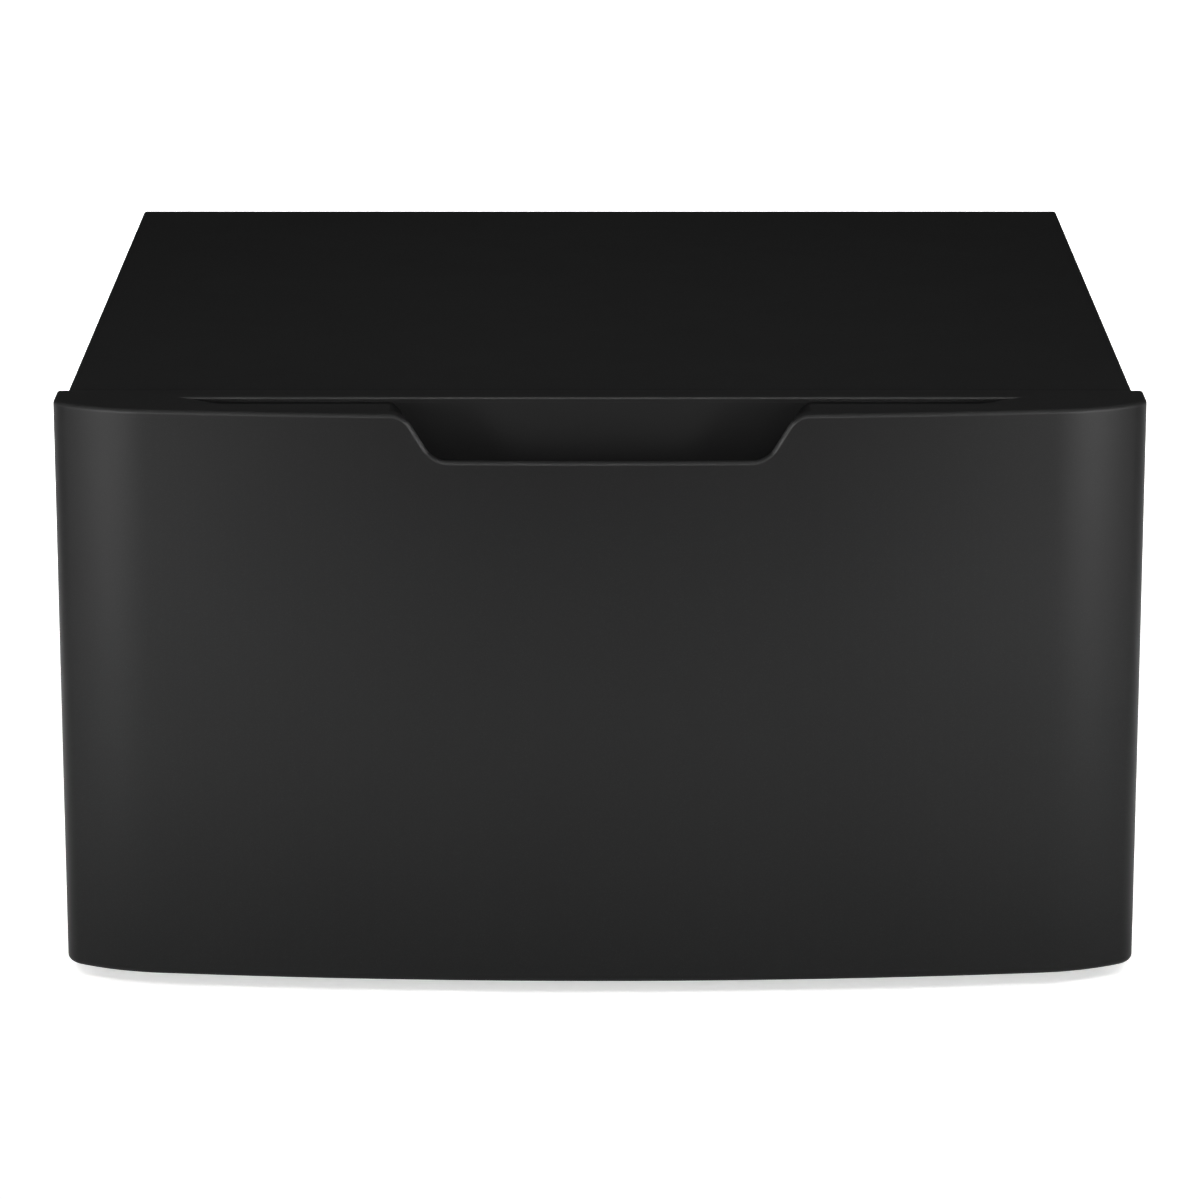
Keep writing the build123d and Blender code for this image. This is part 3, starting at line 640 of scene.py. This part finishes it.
@dataclass(frozen=True)
class Studio:
    """Pale floor, soft boxes and the camera."""

    floor_size: float = 60.0
    floor_colour: Colour = (0.9, 0.9, 0.9)
    near_glow: float = 0.15
    far_glow: float = 0.85
    camera_lift: float = 0.4
    calm_place: Point = (0.0, -0.9, 0.0)
    calm_radius: float = 1.15
    glow_radius: float = 2.0
    back_light: float = 0.02
    room_light: float = 0.12
    room_span: Span = (-0.1, 0.6)
    camera_distance: float = 3.5551
    camera_height: float = 1.1551
    camera_pitch: float = 15.278
    camera_lens: float = 160.42
    camera_reach: float = 200.0

    def build(self) -> None:
        """Set up the floor, the world, the lamps and the camera."""
        self._floor()
        self._world()
        for box in SOFT_BOXES:
            box.hang()
        self._camera()
        bpy.context.scene.view_settings.view_transform = "Standard"

    def _floor(self) -> None:
        """Lay a plain pale floor that whitens away from the object."""
        bpy.ops.object.select_all(action="DESELECT")
        bpy.ops.mesh.primitive_plane_add(size=self.floor_size)
        floor = bpy.context.object
        floor.name = "studio_floor"
        material, wiring, place = begin_material("pale_floor")
        shader = wiring.add("ShaderNodeBsdfDiffuse", {"Color": rgba(self.floor_colour)})
        away = wiring.add("ShaderNodeVectorMath", {0: place, 1: self.calm_place}, operation="DISTANCE")
        radii = (self.calm_radius, self.glow_radius)
        glow = wiring.remap(away.outputs["Value"], radii, self.near_glow, self.far_glow, "SMOOTHSTEP")
        path = wiring.add("ShaderNodeLightPath").outputs
        seen = wiring.maths("ADD", path["Is Camera Ray"], path["Is Glossy Ray"])
        seen = wiring.maths("ADD", seen, path["Is Transmission Ray"])
        level = wiring.maths("MULTIPLY", seen, glow)
        lift = wiring.maths("MULTIPLY", path["Is Camera Ray"], self.camera_lift)
        level = wiring.maths("ADD", level, lift)
        white = wiring.add("ShaderNodeEmission", {"Color": WHITE, "Strength": level})
        both = wiring.add("ShaderNodeAddShader", {0: shader.outputs[0], 1: white.outputs[0]})
        end_material(wiring, both)
        floor.data.materials.append(material)

    def _world(self) -> None:
        """A dim room, darker at the back, where the deck mirrors it."""
        world = bpy.data.worlds.new("studio_room")
        bpy.context.scene.world = world
        world.use_nodes = True
        wiring = Wiring(world.node_tree)
        way = wiring.add("ShaderNodeTexCoord").outputs["Generated"]
        backward = wiring.add("ShaderNodeSeparateXYZ", {0: way}).outputs["Y"]
        level = wiring.remap(backward, self.room_span, self.room_light, self.back_light, "SMOOTHSTEP")
        sky = wiring.add("ShaderNodeBackground", {"Color": WHITE, "Strength": level})
        wiring.add("ShaderNodeOutputWorld", {"Surface": sky.outputs[0]})

    def _camera(self) -> None:
        """Set the camera at the photograph's viewing angle."""
        bpy.ops.object.camera_add(location=(0.0, -self.camera_distance, self.camera_height))
        camera = bpy.context.object
        camera.name = "camera"
        camera.rotation_euler = (math.radians(90.0 - self.camera_pitch), 0.0, 0.0)
        camera.data.lens = self.camera_lens
        camera.data.clip_end = self.camera_reach
        bpy.context.scene.camera = camera


class Hand:
    """Edit-mode moves that several pieces are modelled with."""

    @staticmethod
    def start_point(name: str, place: Point) -> bpy.types.Object:
        """Begin a piece as one point.

        Args:
            name: Name of the piece.
            place: Where the point is.

        Returns:
            The new object, in edit mode, with the point selected.
        """
        bpy.ops.object.select_all(action="DESELECT")
        bpy.ops.mesh.primitive_plane_add()
        piece = bpy.context.object
        piece.name = name
        bpy.ops.object.mode_set(mode="EDIT")
        bpy.ops.mesh.select_mode(type="VERT")
        Hand.pick_all()
        bpy.ops.mesh.merge(type="CENTER")
        bpy.ops.transform.translate(value=place)
        return piece

    @staticmethod
    def arc(centre: Point, turn: float, steps: int) -> None:
        """Draw a level arc on from the selected point.

        Args:
            centre: Centre of the arc.
            turn: Angle in degrees, anticlockwise from above.
            steps: Number of straight steps.
        """
        bpy.ops.mesh.spin(steps=steps, angle=-math.radians(turn), center=centre, axis=(0.0, 0.0, 1.0))

    @staticmethod
    def draw(step: Point) -> None:
        """Extrude what is selected by one step."""
        bpy.ops.mesh.extrude_region_move(TRANSFORM_OT_translate={"value": step})

    @staticmethod
    def pick_all() -> None:
        """Select the whole piece in edit mode."""
        bpy.ops.mesh.select_all(action="SELECT")

    @staticmethod
    def pick_edges(piece: bpy.types.Object, test: Callable[[bmesh.types.BMEdge], bool]) -> None:
        """Select only the edges that pass a test, in edit mode.

        Args:
            piece: The object in edit mode.
            test: Tells whether an edge is wanted.
        """
        bpy.ops.mesh.select_mode(type="EDGE")
        bpy.ops.mesh.select_all(action="DESELECT")
        for edge in bmesh.from_edit_mesh(piece.data).edges:
            if test(edge):
                edge.select_set(True)
        bmesh.update_edit_mesh(piece.data)

    @staticmethod
    def at_level(edge: bmesh.types.BMEdge, level: float) -> bool:
        """Whether an edge lies at one height."""
        return all(abs(vert.co.z - level) < NEAR for vert in edge.verts)

    @staticmethod
    def face_outwards() -> None:
        """Turn every face of the piece in edit mode outwards."""
        Hand.pick_all()
        bpy.ops.mesh.normals_make_consistent(inside=False)

    @staticmethod
    def close() -> None:
        """Turn every face outwards and leave edit mode."""
        Hand.face_outwards()
        bpy.ops.object.mode_set(mode="OBJECT")

    @staticmethod
    def cylinder(name: str, radius: float, low: float, high: float, sides: int) -> bpy.types.Object:
        """Add an upright cylinder on the Z axis.

        Args:
            name: Name of the piece.
            radius: Radius to its corners.
            low: Height of its foot.
            high: Height of its head.
            sides: Number of sides.

        Returns:
            The new object.
        """
        bpy.ops.object.select_all(action="DESELECT")
        bpy.ops.mesh.primitive_cylinder_add(vertices=sides, radius=radius, depth=high - low)
        piece = bpy.context.object
        piece.name = name
        bpy.ops.object.mode_set(mode="EDIT")
        Hand.pick_all()
        bpy.ops.transform.translate(value=(0.0, 0.0, (low + high) / 2))
        bpy.ops.object.mode_set(mode="OBJECT")
        return piece

    @staticmethod
    def bevel_rims(piece: bpy.types.Object, levels: tuple[float, ...], width: float, segments: int) -> None:
        """Bevel the level edges of a piece at some heights.

        Args:
            piece: The object.
            levels: Heights of the edges.
            width: Width of the bevel.
            segments: Number of strips.
        """
        bpy.ops.object.mode_set(mode="EDIT")
        Hand.pick_edges(piece, lambda edge: any(Hand.at_level(edge, level) for level in levels))
        bpy.ops.mesh.bevel(offset=width, segments=segments, affect="EDGES")
        bpy.ops.object.mode_set(mode="OBJECT")

    @staticmethod
    def carve(piece: bpy.types.Object, tool: bpy.types.Object, operation: str = "DIFFERENCE") -> None:
        """Cut a piece with a tool, and delete the tool."""
        Hand.apply(piece, "BOOLEAN", object=tool, operation=operation, solver="EXACT")
        bpy.data.objects.remove(tool)

    @staticmethod
    def join(pieces: list[bpy.types.Object], name: str) -> bpy.types.Object:
        """Join pieces into the first of them.

        Args:
            pieces: The objects.
            name: Name of the result.

        Returns:
            The joined object.
        """
        bpy.ops.object.select_all(action="DESELECT")
        for piece in pieces:
            piece.select_set(True)
        bpy.context.view_layer.objects.active = pieces[0]
        bpy.ops.object.join()
        pieces[0].name = name
        return pieces[0]

    @staticmethod
    def copy(piece: bpy.types.Object, name: str, place: Matrix) -> bpy.types.Object:
        """Copy a piece, with a mesh of its own that is carried to a place.

        Args:
            piece: The object to copy.
            name: Name of the copy.
            place: Turn and shift of the copy.

        Returns:
            The copy.
        """
        twin = bpy.data.objects.new(name, piece.data.copy())
        bpy.context.scene.collection.objects.link(twin)
        twin.data.transform(place)
        return twin

    @staticmethod
    def finish(piece: bpy.types.Object, angle: float) -> None:
        """Shade a piece smoothly, up to an angle between its faces.

        Args:
            piece: The object.
            angle: The angle in degrees.
        """
        bpy.ops.object.select_all(action="DESELECT")
        piece.select_set(True)
        bpy.context.view_layer.objects.active = piece
        bpy.ops.object.shade_smooth_by_angle(angle=math.radians(angle))

    @staticmethod
    def apply(piece: bpy.types.Object, kind: str, **settings: object) -> None:
        """Add a modifier and apply it.

        Args:
            piece: The object to change.
            kind: Type of the modifier.
            settings: Properties of the modifier.
        """
        bpy.context.view_layer.objects.active = piece
        modifier = piece.modifiers.new(kind.lower(), kind)
        for key, value in settings.items():
            setattr(modifier, key, value)
        bpy.ops.object.modifier_apply(modifier=modifier.name)


@dataclass
class DrawerFront:
    """The bowed moulding with the finger notch, the pocket's opening and a painted highlight along its
    rounded edges.
    """

    wall: float = 0.003
    bow_radius: float = 2.5
    shoulder_radius: float = 0.13
    shoulder_span: float = 0.06
    corner_radius: float = 0.018
    top_edge: float = 0.0026
    bottom_edge: float = 0.004
    edge_steps: int = 6
    edge_angle: float = 35.0
    shoulder_steps: int = 12
    corner_steps: int = 10
    bow_steps: tuple[tuple[float, int], ...] = ((0.088, 4), (0.139, 1), (0.2829, 8))
    notch_top_half: float = 0.1215
    notch_bottom_half: float = 0.1033
    notch_depth: float = 0.0295
    notch_radius: float = 0.015
    notch_steps: int = 10
    notch_over: float = 0.02
    pocket_rear: float = 0.0197
    pocket_rear_half: float = 0.262
    pocket_front_half: float = 0.2179
    pocket_lip: float = 0.0092
    pocket_edge: float = 0.0018
    pocket_tip: float = 0.012
    pocket_crease: float = 0.0005
    pocket_steps: int = 72
    pocket_over: float = 0.01
    skin_depth: float = 0.0008
    margin: float = 0.001
    # Shares of the painted highlight colour on the rounded edges: along the top, on the notch's slopes and at
    # the opening's rear edge
    top_wear: float = 0.09
    slope_highlight: float = 0.36
    slope_margin: float = 0.005
    opening_highlight: float = 0.34

    def __post_init__(self) -> None:
        """Take the moulding's place from its CAD box."""
        low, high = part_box("drawer_front")
        self.half_width = high.x
        self.front_y, self.rim_y = low.y, high.y
        self.opening_y = self.rim_y - self.pocket_rear
        self.bottom, self.top = low.z, high.z
        self.bow_centre = (0.0, self.front_y + self.bow_radius)
        self.bow_angle = math.degrees(math.asin((self.half_width - self.shoulder_span) / self.bow_radius))
        reach = self.bow_radius - self.shoulder_radius
        turn = math.radians(self.bow_angle)
        self.shoulder_centre = (reach * math.sin(turn), self.bow_centre[1] - reach * math.cos(turn))
        reach = self.shoulder_radius - self.corner_radius
        self.corner_x = self.half_width - self.corner_radius
        turn = math.asin((self.corner_x - self.shoulder_centre[0]) / reach)
        self.shoulder_angle = math.degrees(turn)
        self.corner_y = self.shoulder_centre[1] - reach * math.cos(turn)

    def _skin(self) -> bpy.types.Object:
        """Draw the plan in arcs, raise it into a wall, close it above and below, and give it thickness.

        Returns:
            The moulding without its notch and opening.
        """
        piece = Hand.start_point("moulded_front", (0.0, self.front_y, self.bottom))
        start = 0.0
        for reach, steps in self.bow_steps:
            turn = min(math.degrees(math.asin(reach / self.bow_radius)), self.bow_angle)
            Hand.arc((*self.bow_centre, self.bottom), turn - start, steps)
            start = turn
        turn = self.shoulder_angle - self.bow_angle
        Hand.arc((*self.shoulder_centre, self.bottom), turn, self.shoulder_steps)
        turn = 90.0 - self.shoulder_angle
        Hand.arc((self.corner_x, self.corner_y, self.bottom), turn, self.corner_steps)
        Hand.draw((0.0, self.rim_y - self.corner_y, 0.0))
        Hand.pick_all()
        bpy.ops.mesh.symmetrize(direction="POSITIVE_X")
        Hand.pick_all()
        Hand.draw((0.0, 0.0, self.top - self.bottom))
        for level in (self.top, self.bottom):
            Hand.pick_edges(piece, lambda edge: Hand.at_level(edge, level))
            bpy.ops.mesh.edge_face_add()
        Hand.face_outwards()
        Hand.pick_edges(piece, self._below)
        bpy.ops.mesh.bevel(
            offset=self.bottom_edge, segments=self.edge_steps, affect="EDGES", clamp_overlap=False
        )
        Hand.close()
        Hand.apply(piece, "SOLIDIFY", thickness=self.wall, offset=-1.0, use_even_offset=True)
        return piece

    def _below(self, edge: bmesh.types.BMEdge) -> bool:
        """Whether an edge lies at the bottom, off the rear rim."""
        at_rim = all(abs(vert.co.y - self.rim_y) < NEAR for vert in edge.verts)
        return Hand.at_level(edge, self.bottom) and not at_rim

    def _notch_cutter(self) -> bpy.types.Object:
        """Draw the notch's elevation with rounded corners, and run it through the front.

        Returns:
            The cutter.
        """
        over = self.notch_over
        slope = self.notch_top_half - self.notch_bottom_half
        floor = self.top - self.notch_depth
        piece = Hand.start_point("notch_cutter", (-self.notch_bottom_half, self.opening_y, floor))
        outline = (
            (2 * self.notch_bottom_half, 0.0),
            (slope, self.notch_depth),
            (over, 0.0),
            (0.0, over),
            (-2 * (self.notch_top_half + over), 0.0),
            (0.0, -over),
            (over, 0.0),
            (slope, -self.notch_depth),
        )
        for along, up in outline:
            Hand.draw((along, 0.0, up))
        Hand.pick_all()
        bpy.ops.mesh.remove_doubles(threshold=NEAR / 10)
        for level, half in ((floor, self.notch_bottom_half), (self.top, self.notch_top_half)):
            self._round_corners(piece, level, half)
        Hand.pick_all()
        bpy.ops.mesh.edge_face_add()
        Hand.draw((0.0, self.front_y - over - self.opening_y, 0.0))
        Hand.close()
        return piece

    def _round_corners(self, piece: bpy.types.Object, level: float, half: float) -> None:
        """Round the two slanted corners of the notch's elevation that lie at one level.

        Args:
            piece: The elevation, in edit mode.
            level: Height of the corners.
            half: How far they lie from the middle.
        """
        bpy.ops.mesh.select_mode(type="VERT")
        bpy.ops.mesh.select_all(action="DESELECT")
        for vert in bmesh.from_edit_mesh(piece.data).verts:
            vert.select_set(abs(vert.co.z - level) < NEAR and abs(abs(vert.co.x) - half) < NEAR)
        bmesh.update_edit_mesh(piece.data)
        slant = math.atan2(self.notch_depth, self.notch_top_half - self.notch_bottom_half)
        run = self.notch_radius * math.tan(slant / 2)
        bpy.ops.mesh.bevel(offset=run, segments=self.notch_steps, affect="VERTICES", clamp_overlap=False)

    def _opening_cutter(self) -> bpy.types.Object:
        """Draw the plan of the pocket's opening and run it down through the top wall.

        Returns:
            The cutter.
        """
        radius = self.bow_radius - self.pocket_lip
        sweep = math.asin(self.pocket_front_half / radius)
        front_end = self.bow_centre[1] - radius * math.cos(sweep)
        level = self.top - self.wall - self.pocket_over
        piece = Hand.start_point("opening_cutter", (-self.pocket_front_half, front_end, level))
        Hand.arc((*self.bow_centre, level), math.degrees(2 * sweep), self.pocket_steps)
        Hand.draw((self.pocket_rear_half - self.pocket_front_half, self.opening_y - front_end, 0.0))
        for run in (self.pocket_tip, 2 * (self.pocket_rear_half - self.pocket_tip), self.pocket_tip):
            Hand.draw((-run, 0.0, 0.0))
        Hand.pick_all()
        bpy.ops.mesh.edge_face_add()
        Hand.draw((0.0, 0.0, self.wall + 2 * self.pocket_over))
        Hand.close()
        return piece

    def _on_skin(self, point: Vector, within: float) -> bool:
        """Whether a point lies on the outer skin of the moulding, off its rear rim.

        Args:
            point: The point.
            within: How deep below the skin it may lie.

        Returns:
            True if it does.
        """
        if point.y > self.rim_y - self.margin / 10:
            return False
        if abs(point.x) > self.half_width - self.shoulder_span:
            return True
        reach = math.hypot(point.x - self.bow_centre[0], point.y - self.bow_centre[1])
        return reach > self.bow_radius - within

    def _softness(self, edge: bmesh.types.BMEdge) -> float:
        """How far a sharp edge is rounded.

        Args:
            edge: An edge of the moulding.

        Returns:
            The width of its bevel, or 0 where it stays sharp.
        """
        middle = (edge.verts[0].co + edge.verts[1].co) / 2
        in_reach = middle.z > self.top - self.notch_depth - self.margin
        if in_reach and edge.is_convex and self._on_skin(middle, self.skin_depth):
            return self.top_edge
        if abs(middle.z - self.top) > NEAR or middle.y > self.rim_y - self.margin:
            return 0.0
        return self.pocket_edge if abs(middle.y - self.opening_y) < NEAR else self.pocket_crease

    def _soften(self, piece: bpy.types.Object) -> None:
        """Round the edge along the top and down through the notch, and the edges of the opening.

        Args:
            piece: The moulding.
        """
        mesh = piece.data
        weights = mesh.attributes.new("bevel_weight_edge", "FLOAT", "EDGE").name
        body = bmesh.new()
        body.from_mesh(mesh)
        layer = body.edges.layers.float.get(weights)
        for edge in body.edges:
            if len(edge.link_faces) == 2 and edge.calc_face_angle() > math.radians(self.edge_angle):
                edge[layer] = self._softness(edge) / self.top_edge
        body.to_mesh(mesh)
        body.free()
        # The second of two empty material slots marks the faces that the bevel adds
        for _ in range(2):
            mesh.materials.append(None)
        Hand.apply(
            piece,
            "BEVEL",
            width=self.top_edge,
            segments=self.edge_steps,
            limit_method="WEIGHT",
            use_clamp_overlap=False,
            loop_slide=True,
            material=1,
        )

    def _wear(self, piece: bpy.types.Object) -> None:
        """Mark the softened edges for a painted highlight, and let their faces share the one material.

        Args:
            piece: The moulding with its bevels.
        """
        mesh = piece.data
        marks = [self._wear_at(vertex.co) for vertex in mesh.vertices]
        for face in mesh.polygons:
            if face.material_index == 0:
                for vertex in face.vertices:
                    marks[vertex] = 0.0
            face.material_index = 0
        layer = mesh.attributes.new(EDGE_HIGHLIGHT, "FLOAT", "POINT")
        layer.data.foreach_set("value", marks)

    def _wear_at(self, point: Vector) -> float:
        """How much painted highlight a softened edge gets: more at the opening and on the notch's slopes.

        Args:
            point: A point of the edge.

        Returns:
            The share of the painted highlight colour.
        """
        reach = abs(point.x)
        if abs(point.y - self.opening_y) < self.top_edge + NEAR or reach > self.pocket_front_half:
            near = reach < self.pocket_rear_half + self.pocket_tip
            inside = near and not self._on_skin(point, self.top_edge)
            return self.opening_highlight if inside else self.top_wear
        below = self.top - point.z
        slope = self.slope_margin < below < self.notch_depth - self.slope_margin
        return self.slope_highlight if slope else self.top_wear

    def build(self, palette: Palette) -> None:
        """Model the moulding and settle it on the drawer.

        Args:
            palette: The finishes.
        """
        piece = self._skin()
        Hand.carve(piece, self._opening_cutter())
        Hand.carve(piece, self._notch_cutter())
        self._soften(piece)
        # Paint a lighter highlight colour along the rounded edges
        self._wear(piece)
        Hand.finish(piece, self.edge_angle)
        Hand.apply(piece, "WEIGHTED_NORMAL", keep_sharp=True, weight=100)
        palette.settle(piece, Slot.CHARCOAL_MOULDING, "drawer", "drawer_front")


@dataclass(frozen=True)
class Thread:
    """A round core with a helical ridge."""

    crest: float
    core: float
    pitch: float
    steps: int = 20
    sunk: float = 0.1
    flank: float = 0.45
    end_round: float = 0.3

    def model(self, name: str, low: float, high: float) -> bpy.types.Object:
        """Model a threaded bar on the Z axis.

        Args:
            name: Name of the piece.
            low: Height of its lower end.
            high: Height of its upper end.

        Returns:
            The bar.
        """
        root = self.core - self.sunk * (self.crest - self.core)
        flank = self.flank * self.pitch
        turns = int((high - low - 3 * flank) / self.pitch)
        ridge = Hand.start_point(name, (root, 0.0, low + flank))
        Hand.draw((self.crest - root, 0.0, flank))
        Hand.draw((root - self.crest, 0.0, flank))
        Hand.pick_all()
        bpy.ops.mesh.edge_face_add()
        bpy.ops.mesh.delete(type="ONLY_FACE")
        bpy.ops.object.mode_set(mode="OBJECT")
        Hand.apply(
            ridge,
            "SCREW",
            axis="Z",
            angle=math.tau,
            screw_offset=self.pitch,
            iterations=turns,
            steps=self.steps,
            render_steps=self.steps,
            use_merge_vertices=True,
            merge_threshold=NEAR / 10,
        )
        bpy.ops.object.mode_set(mode="EDIT")
        Hand.pick_all()
        bpy.ops.mesh.fill_holes(sides=3)
        Hand.close()
        core = Hand.cylinder(f"{name}_core", self.core, low, high, sides=2 * self.steps)
        Hand.bevel_rims(core, (low, high), self.end_round * self.core, segments=2)
        return Hand.join([core, ridge], name)


@dataclass(frozen=True)
class LevellingFoot:
    """A levelling foot: a coned disc, a hexagon and a threaded stud."""

    disc_radius: float = 0.018
    disc_low: float = 0.003
    disc_height: float = 0.005
    cone_height: float = 0.003
    cone_width: float = 0.006
    flats: float = 0.017
    hexagon_chamfer: float = 0.0011
    stud_length: float = 0.044
    round_sides: int = 64
    smooth_angle: float = 30.0
    thread: Thread = Thread(crest=0.0049, core=0.0042, pitch=0.0015)

    def build(self, palette: Palette) -> None:
        """Model one foot, copy it to each corner and settle the copies.

        Args:
            palette: The finishes.
        """
        pattern = self._model(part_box("foot_front_left")[1].z)
        for row in ("front", "rear"):
            for side in Side:
                node = side.node(f"foot_{row}")
                low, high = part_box(node)
                middle = (low + high) / 2
                place = Matrix.Translation((middle.x, middle.y, 0.0))
                piece = Hand.copy(pattern, f"threaded_{node}", place)
                palette.settle(piece, Slot.ZINC_STEEL, node, node)
        bpy.data.objects.remove(pattern)

    def _model(self, top: float) -> bpy.types.Object:
        """Model a foot on the Z axis.

        Args:
            top: Height of the stud's upper end.

        Returns:
            The foot.
        """
        shoulder = self.disc_low + self.disc_height
        rim = shoulder - self.cone_height
        disc = Hand.cylinder("foot_disc", self.disc_radius, self.disc_low, rim, self.round_sides)
        bpy.ops.object.mode_set(mode="EDIT")
        Hand.pick_edges(disc, lambda edge: Hand.at_level(edge, rim))
        Hand.draw((0.0, 0.0, self.cone_height))
        narrow = 1.0 - self.cone_width / self.disc_radius
        bpy.ops.transform.resize(value=(narrow, narrow, 1.0))
        bpy.ops.mesh.edge_face_add()
        Hand.close()
        hexagon_top = top - self.stud_length
        hexagon = self._hexagon(shoulder, hexagon_top)
        stud = self.thread.model("foot_stud", hexagon_top - self.thread.pitch, top)
        piece = Hand.join([disc, hexagon, stud], "foot_pattern")
        Hand.finish(piece, self.smooth_angle)
        return piece

    def _hexagon(self, low: float, high: float) -> bpy.types.Object:
        """Model a hexagon with turned-off corners.

        Args:
            low: Height of its foot.
            high: Height of its head.

        Returns:
            The hexagon.
        """
        corner = self.flats / math.sqrt(3.0)
        prism = Hand.cylinder("foot_hexagon", corner, low, high, sides=6)
        turned = Hand.cylinder("turned_form", corner, low, high, self.round_sides)
        Hand.bevel_rims(turned, (low, high), self.hexagon_chamfer, segments=1)
        Hand.carve(prism, turned, "INTERSECT")
        return prism


@dataclass(frozen=True)
class ScrewRow:
    """A row of screws that stands for one CAD node."""

    node: str
    body: str
    heading: Point = (0.0, 1.0, 0.0)

    def seats(self, reach: float) -> list[tuple[Vector, float]]:
        """Find each screw of the node.

        Args:
            reach: Points nearer than this across the axis belong to one screw.

        Returns:
            The middle of each head's crown, and the whole length of the screw.
        """
        way = Vector(self.heading)
        groups: list[list[Vector]] = []
        for vert in frame["nodes"][self.node].data.vertices:
            point = vert.co
            for group in groups:
                apart = point - group[0]
                if (apart - way * apart.dot(way)).length < reach:
                    group.append(point)
                    break
            else:
                groups.append([point])
        return [self._seat(group, way) for group in groups]

    @staticmethod
    def _seat(group: list[Vector], way: Vector) -> tuple[Vector, float]:
        """Measure one screw.

        Args:
            group: Its points.
            way: The way that its head points.

        Returns:
            The middle of its head's crown, and its whole length.
        """
        low = Vector([min(point[axis] for point in group) for axis in range(3)])
        high = Vector([max(point[axis] for point in group) for axis in range(3)])
        middle = (low + high) / 2
        length = abs((high - low).dot(way))
        return middle + way * length / 2, length


SCREW_ROWS = (
    ScrewRow("backing_screws", "drawer"),
    ScrewRow("drawer_box_screws", "drawer"),
    ScrewRow("rear_panel_screws", "cabinet"),
    ScrewRow("deck_screws", "cabinet"),
    ScrewRow("outer_slide_screws_left", "cabinet", (1.0, 0.0, 0.0)),
    ScrewRow("outer_slide_screws_right", "cabinet", (-1.0, 0.0, 0.0)),
    ScrewRow("inner_slide_screws_left", "drawer", (-1.0, 0.0, 0.0)),
    ScrewRow("inner_slide_screws_right", "drawer", (1.0, 0.0, 0.0)),
)


@dataclass(frozen=True)
class PanScrew:
    """A pan-head screw with a cross recess."""

    head_radius: float = 0.0035
    head_height: float = 0.0018
    head_round: float = 0.0008
    recess_reach: float = 0.002
    recess_width: float = 0.0009
    recess_depth: float = 0.0011
    recess_taper: float = 0.6
    head_sides: int = 40
    head_steps: int = 5
    shank_start: float = 0.7
    smooth_angle: float = 40.0
    seat_reach: float = 0.0105
    length_step: float = 0.0001
    thread: Thread = Thread(crest=0.0019, core=0.0014, pitch=0.0013, steps=16)

    def build(self, palette: Palette) -> None:
        """Model each length of screw once and copy it to every seat.

        Args:
            palette: The finishes.
        """
        patterns: dict[int, bpy.types.Object] = {}
        for row in SCREW_ROWS:
            pieces = []
            turn = Vector(row.heading).to_track_quat("Z", "Y").to_matrix().to_4x4()
            for crown, length in row.seats(self.seat_reach):
                size = round(length / self.length_step)
                if size not in patterns:
                    patterns[size] = self._model(length)
                place = Matrix.Translation(crown) @ turn
                pieces.append(Hand.copy(patterns[size], f"{row.node}_{len(pieces)}", place))
            piece = Hand.join(pieces, f"cross_{row.node}")
            palette.settle(piece, Slot.FASTENER_STEEL, row.body, row.node)
        for pattern in patterns.values():
            bpy.data.objects.remove(pattern)

    def _model(self, length: float) -> bpy.types.Object:
        """Model a screw with its crown at the origin and its shank down the Z axis.

        Args:
            length: Its whole length.

        Returns:
            The screw.
        """
        head = Hand.cylinder("screw_head", self.head_radius, -self.head_height, 0.0, self.head_sides)
        Hand.bevel_rims(head, (0.0,), self.head_round, self.head_steps)
        for turn in (0.0, 90.0):
            Hand.carve(head, self._wing(turn))
        shank = self.thread.model("screw_shank", -length, -self.shank_start * self.head_height)
        piece = Hand.join([head, shank], "screw_pattern")
        Hand.finish(piece, self.smooth_angle)
        return piece

    def _wing(self, turn: float) -> bpy.types.Object:
        """Model the cutter of two opposite wings of the recess.

        Args:
            turn: Angle round the Z axis, in degrees.

        Returns:
            The cutter.
        """
        bpy.ops.object.select_all(action="DESELECT")
        bpy.ops.mesh.primitive_cube_add(size=2.0, rotation=(0.0, 0.0, math.radians(turn)))
        wing = bpy.context.object
        bpy.ops.object.mode_set(mode="EDIT")
        for vert in bmesh.from_edit_mesh(wing.data).verts:
            deep = vert.co.z < 0.0
            narrow = self.recess_taper if deep else 1.0
            vert.co.x *= self.recess_reach * narrow
            vert.co.y *= self.recess_width * narrow / 2
            vert.co.z = -self.recess_depth if deep else self.recess_depth
        bmesh.update_edit_mesh(wing.data)
        bpy.ops.object.mode_set(mode="OBJECT")
        return wing


def main() -> None:
    """Build the pieces in order and report each."""
    logging.basicConfig(level=logging.INFO, format="%(message)s")
    palette = Palette()
    LOG.info("dressed %d CAD nodes", palette.dress_nodes())
    DrawerFront().build(palette)
    LevellingFoot().build(palette)
    PanScrew().build(palette)
    Studio().build()
    LOG.info("studio set")


if __name__ == "__main__":
    main()
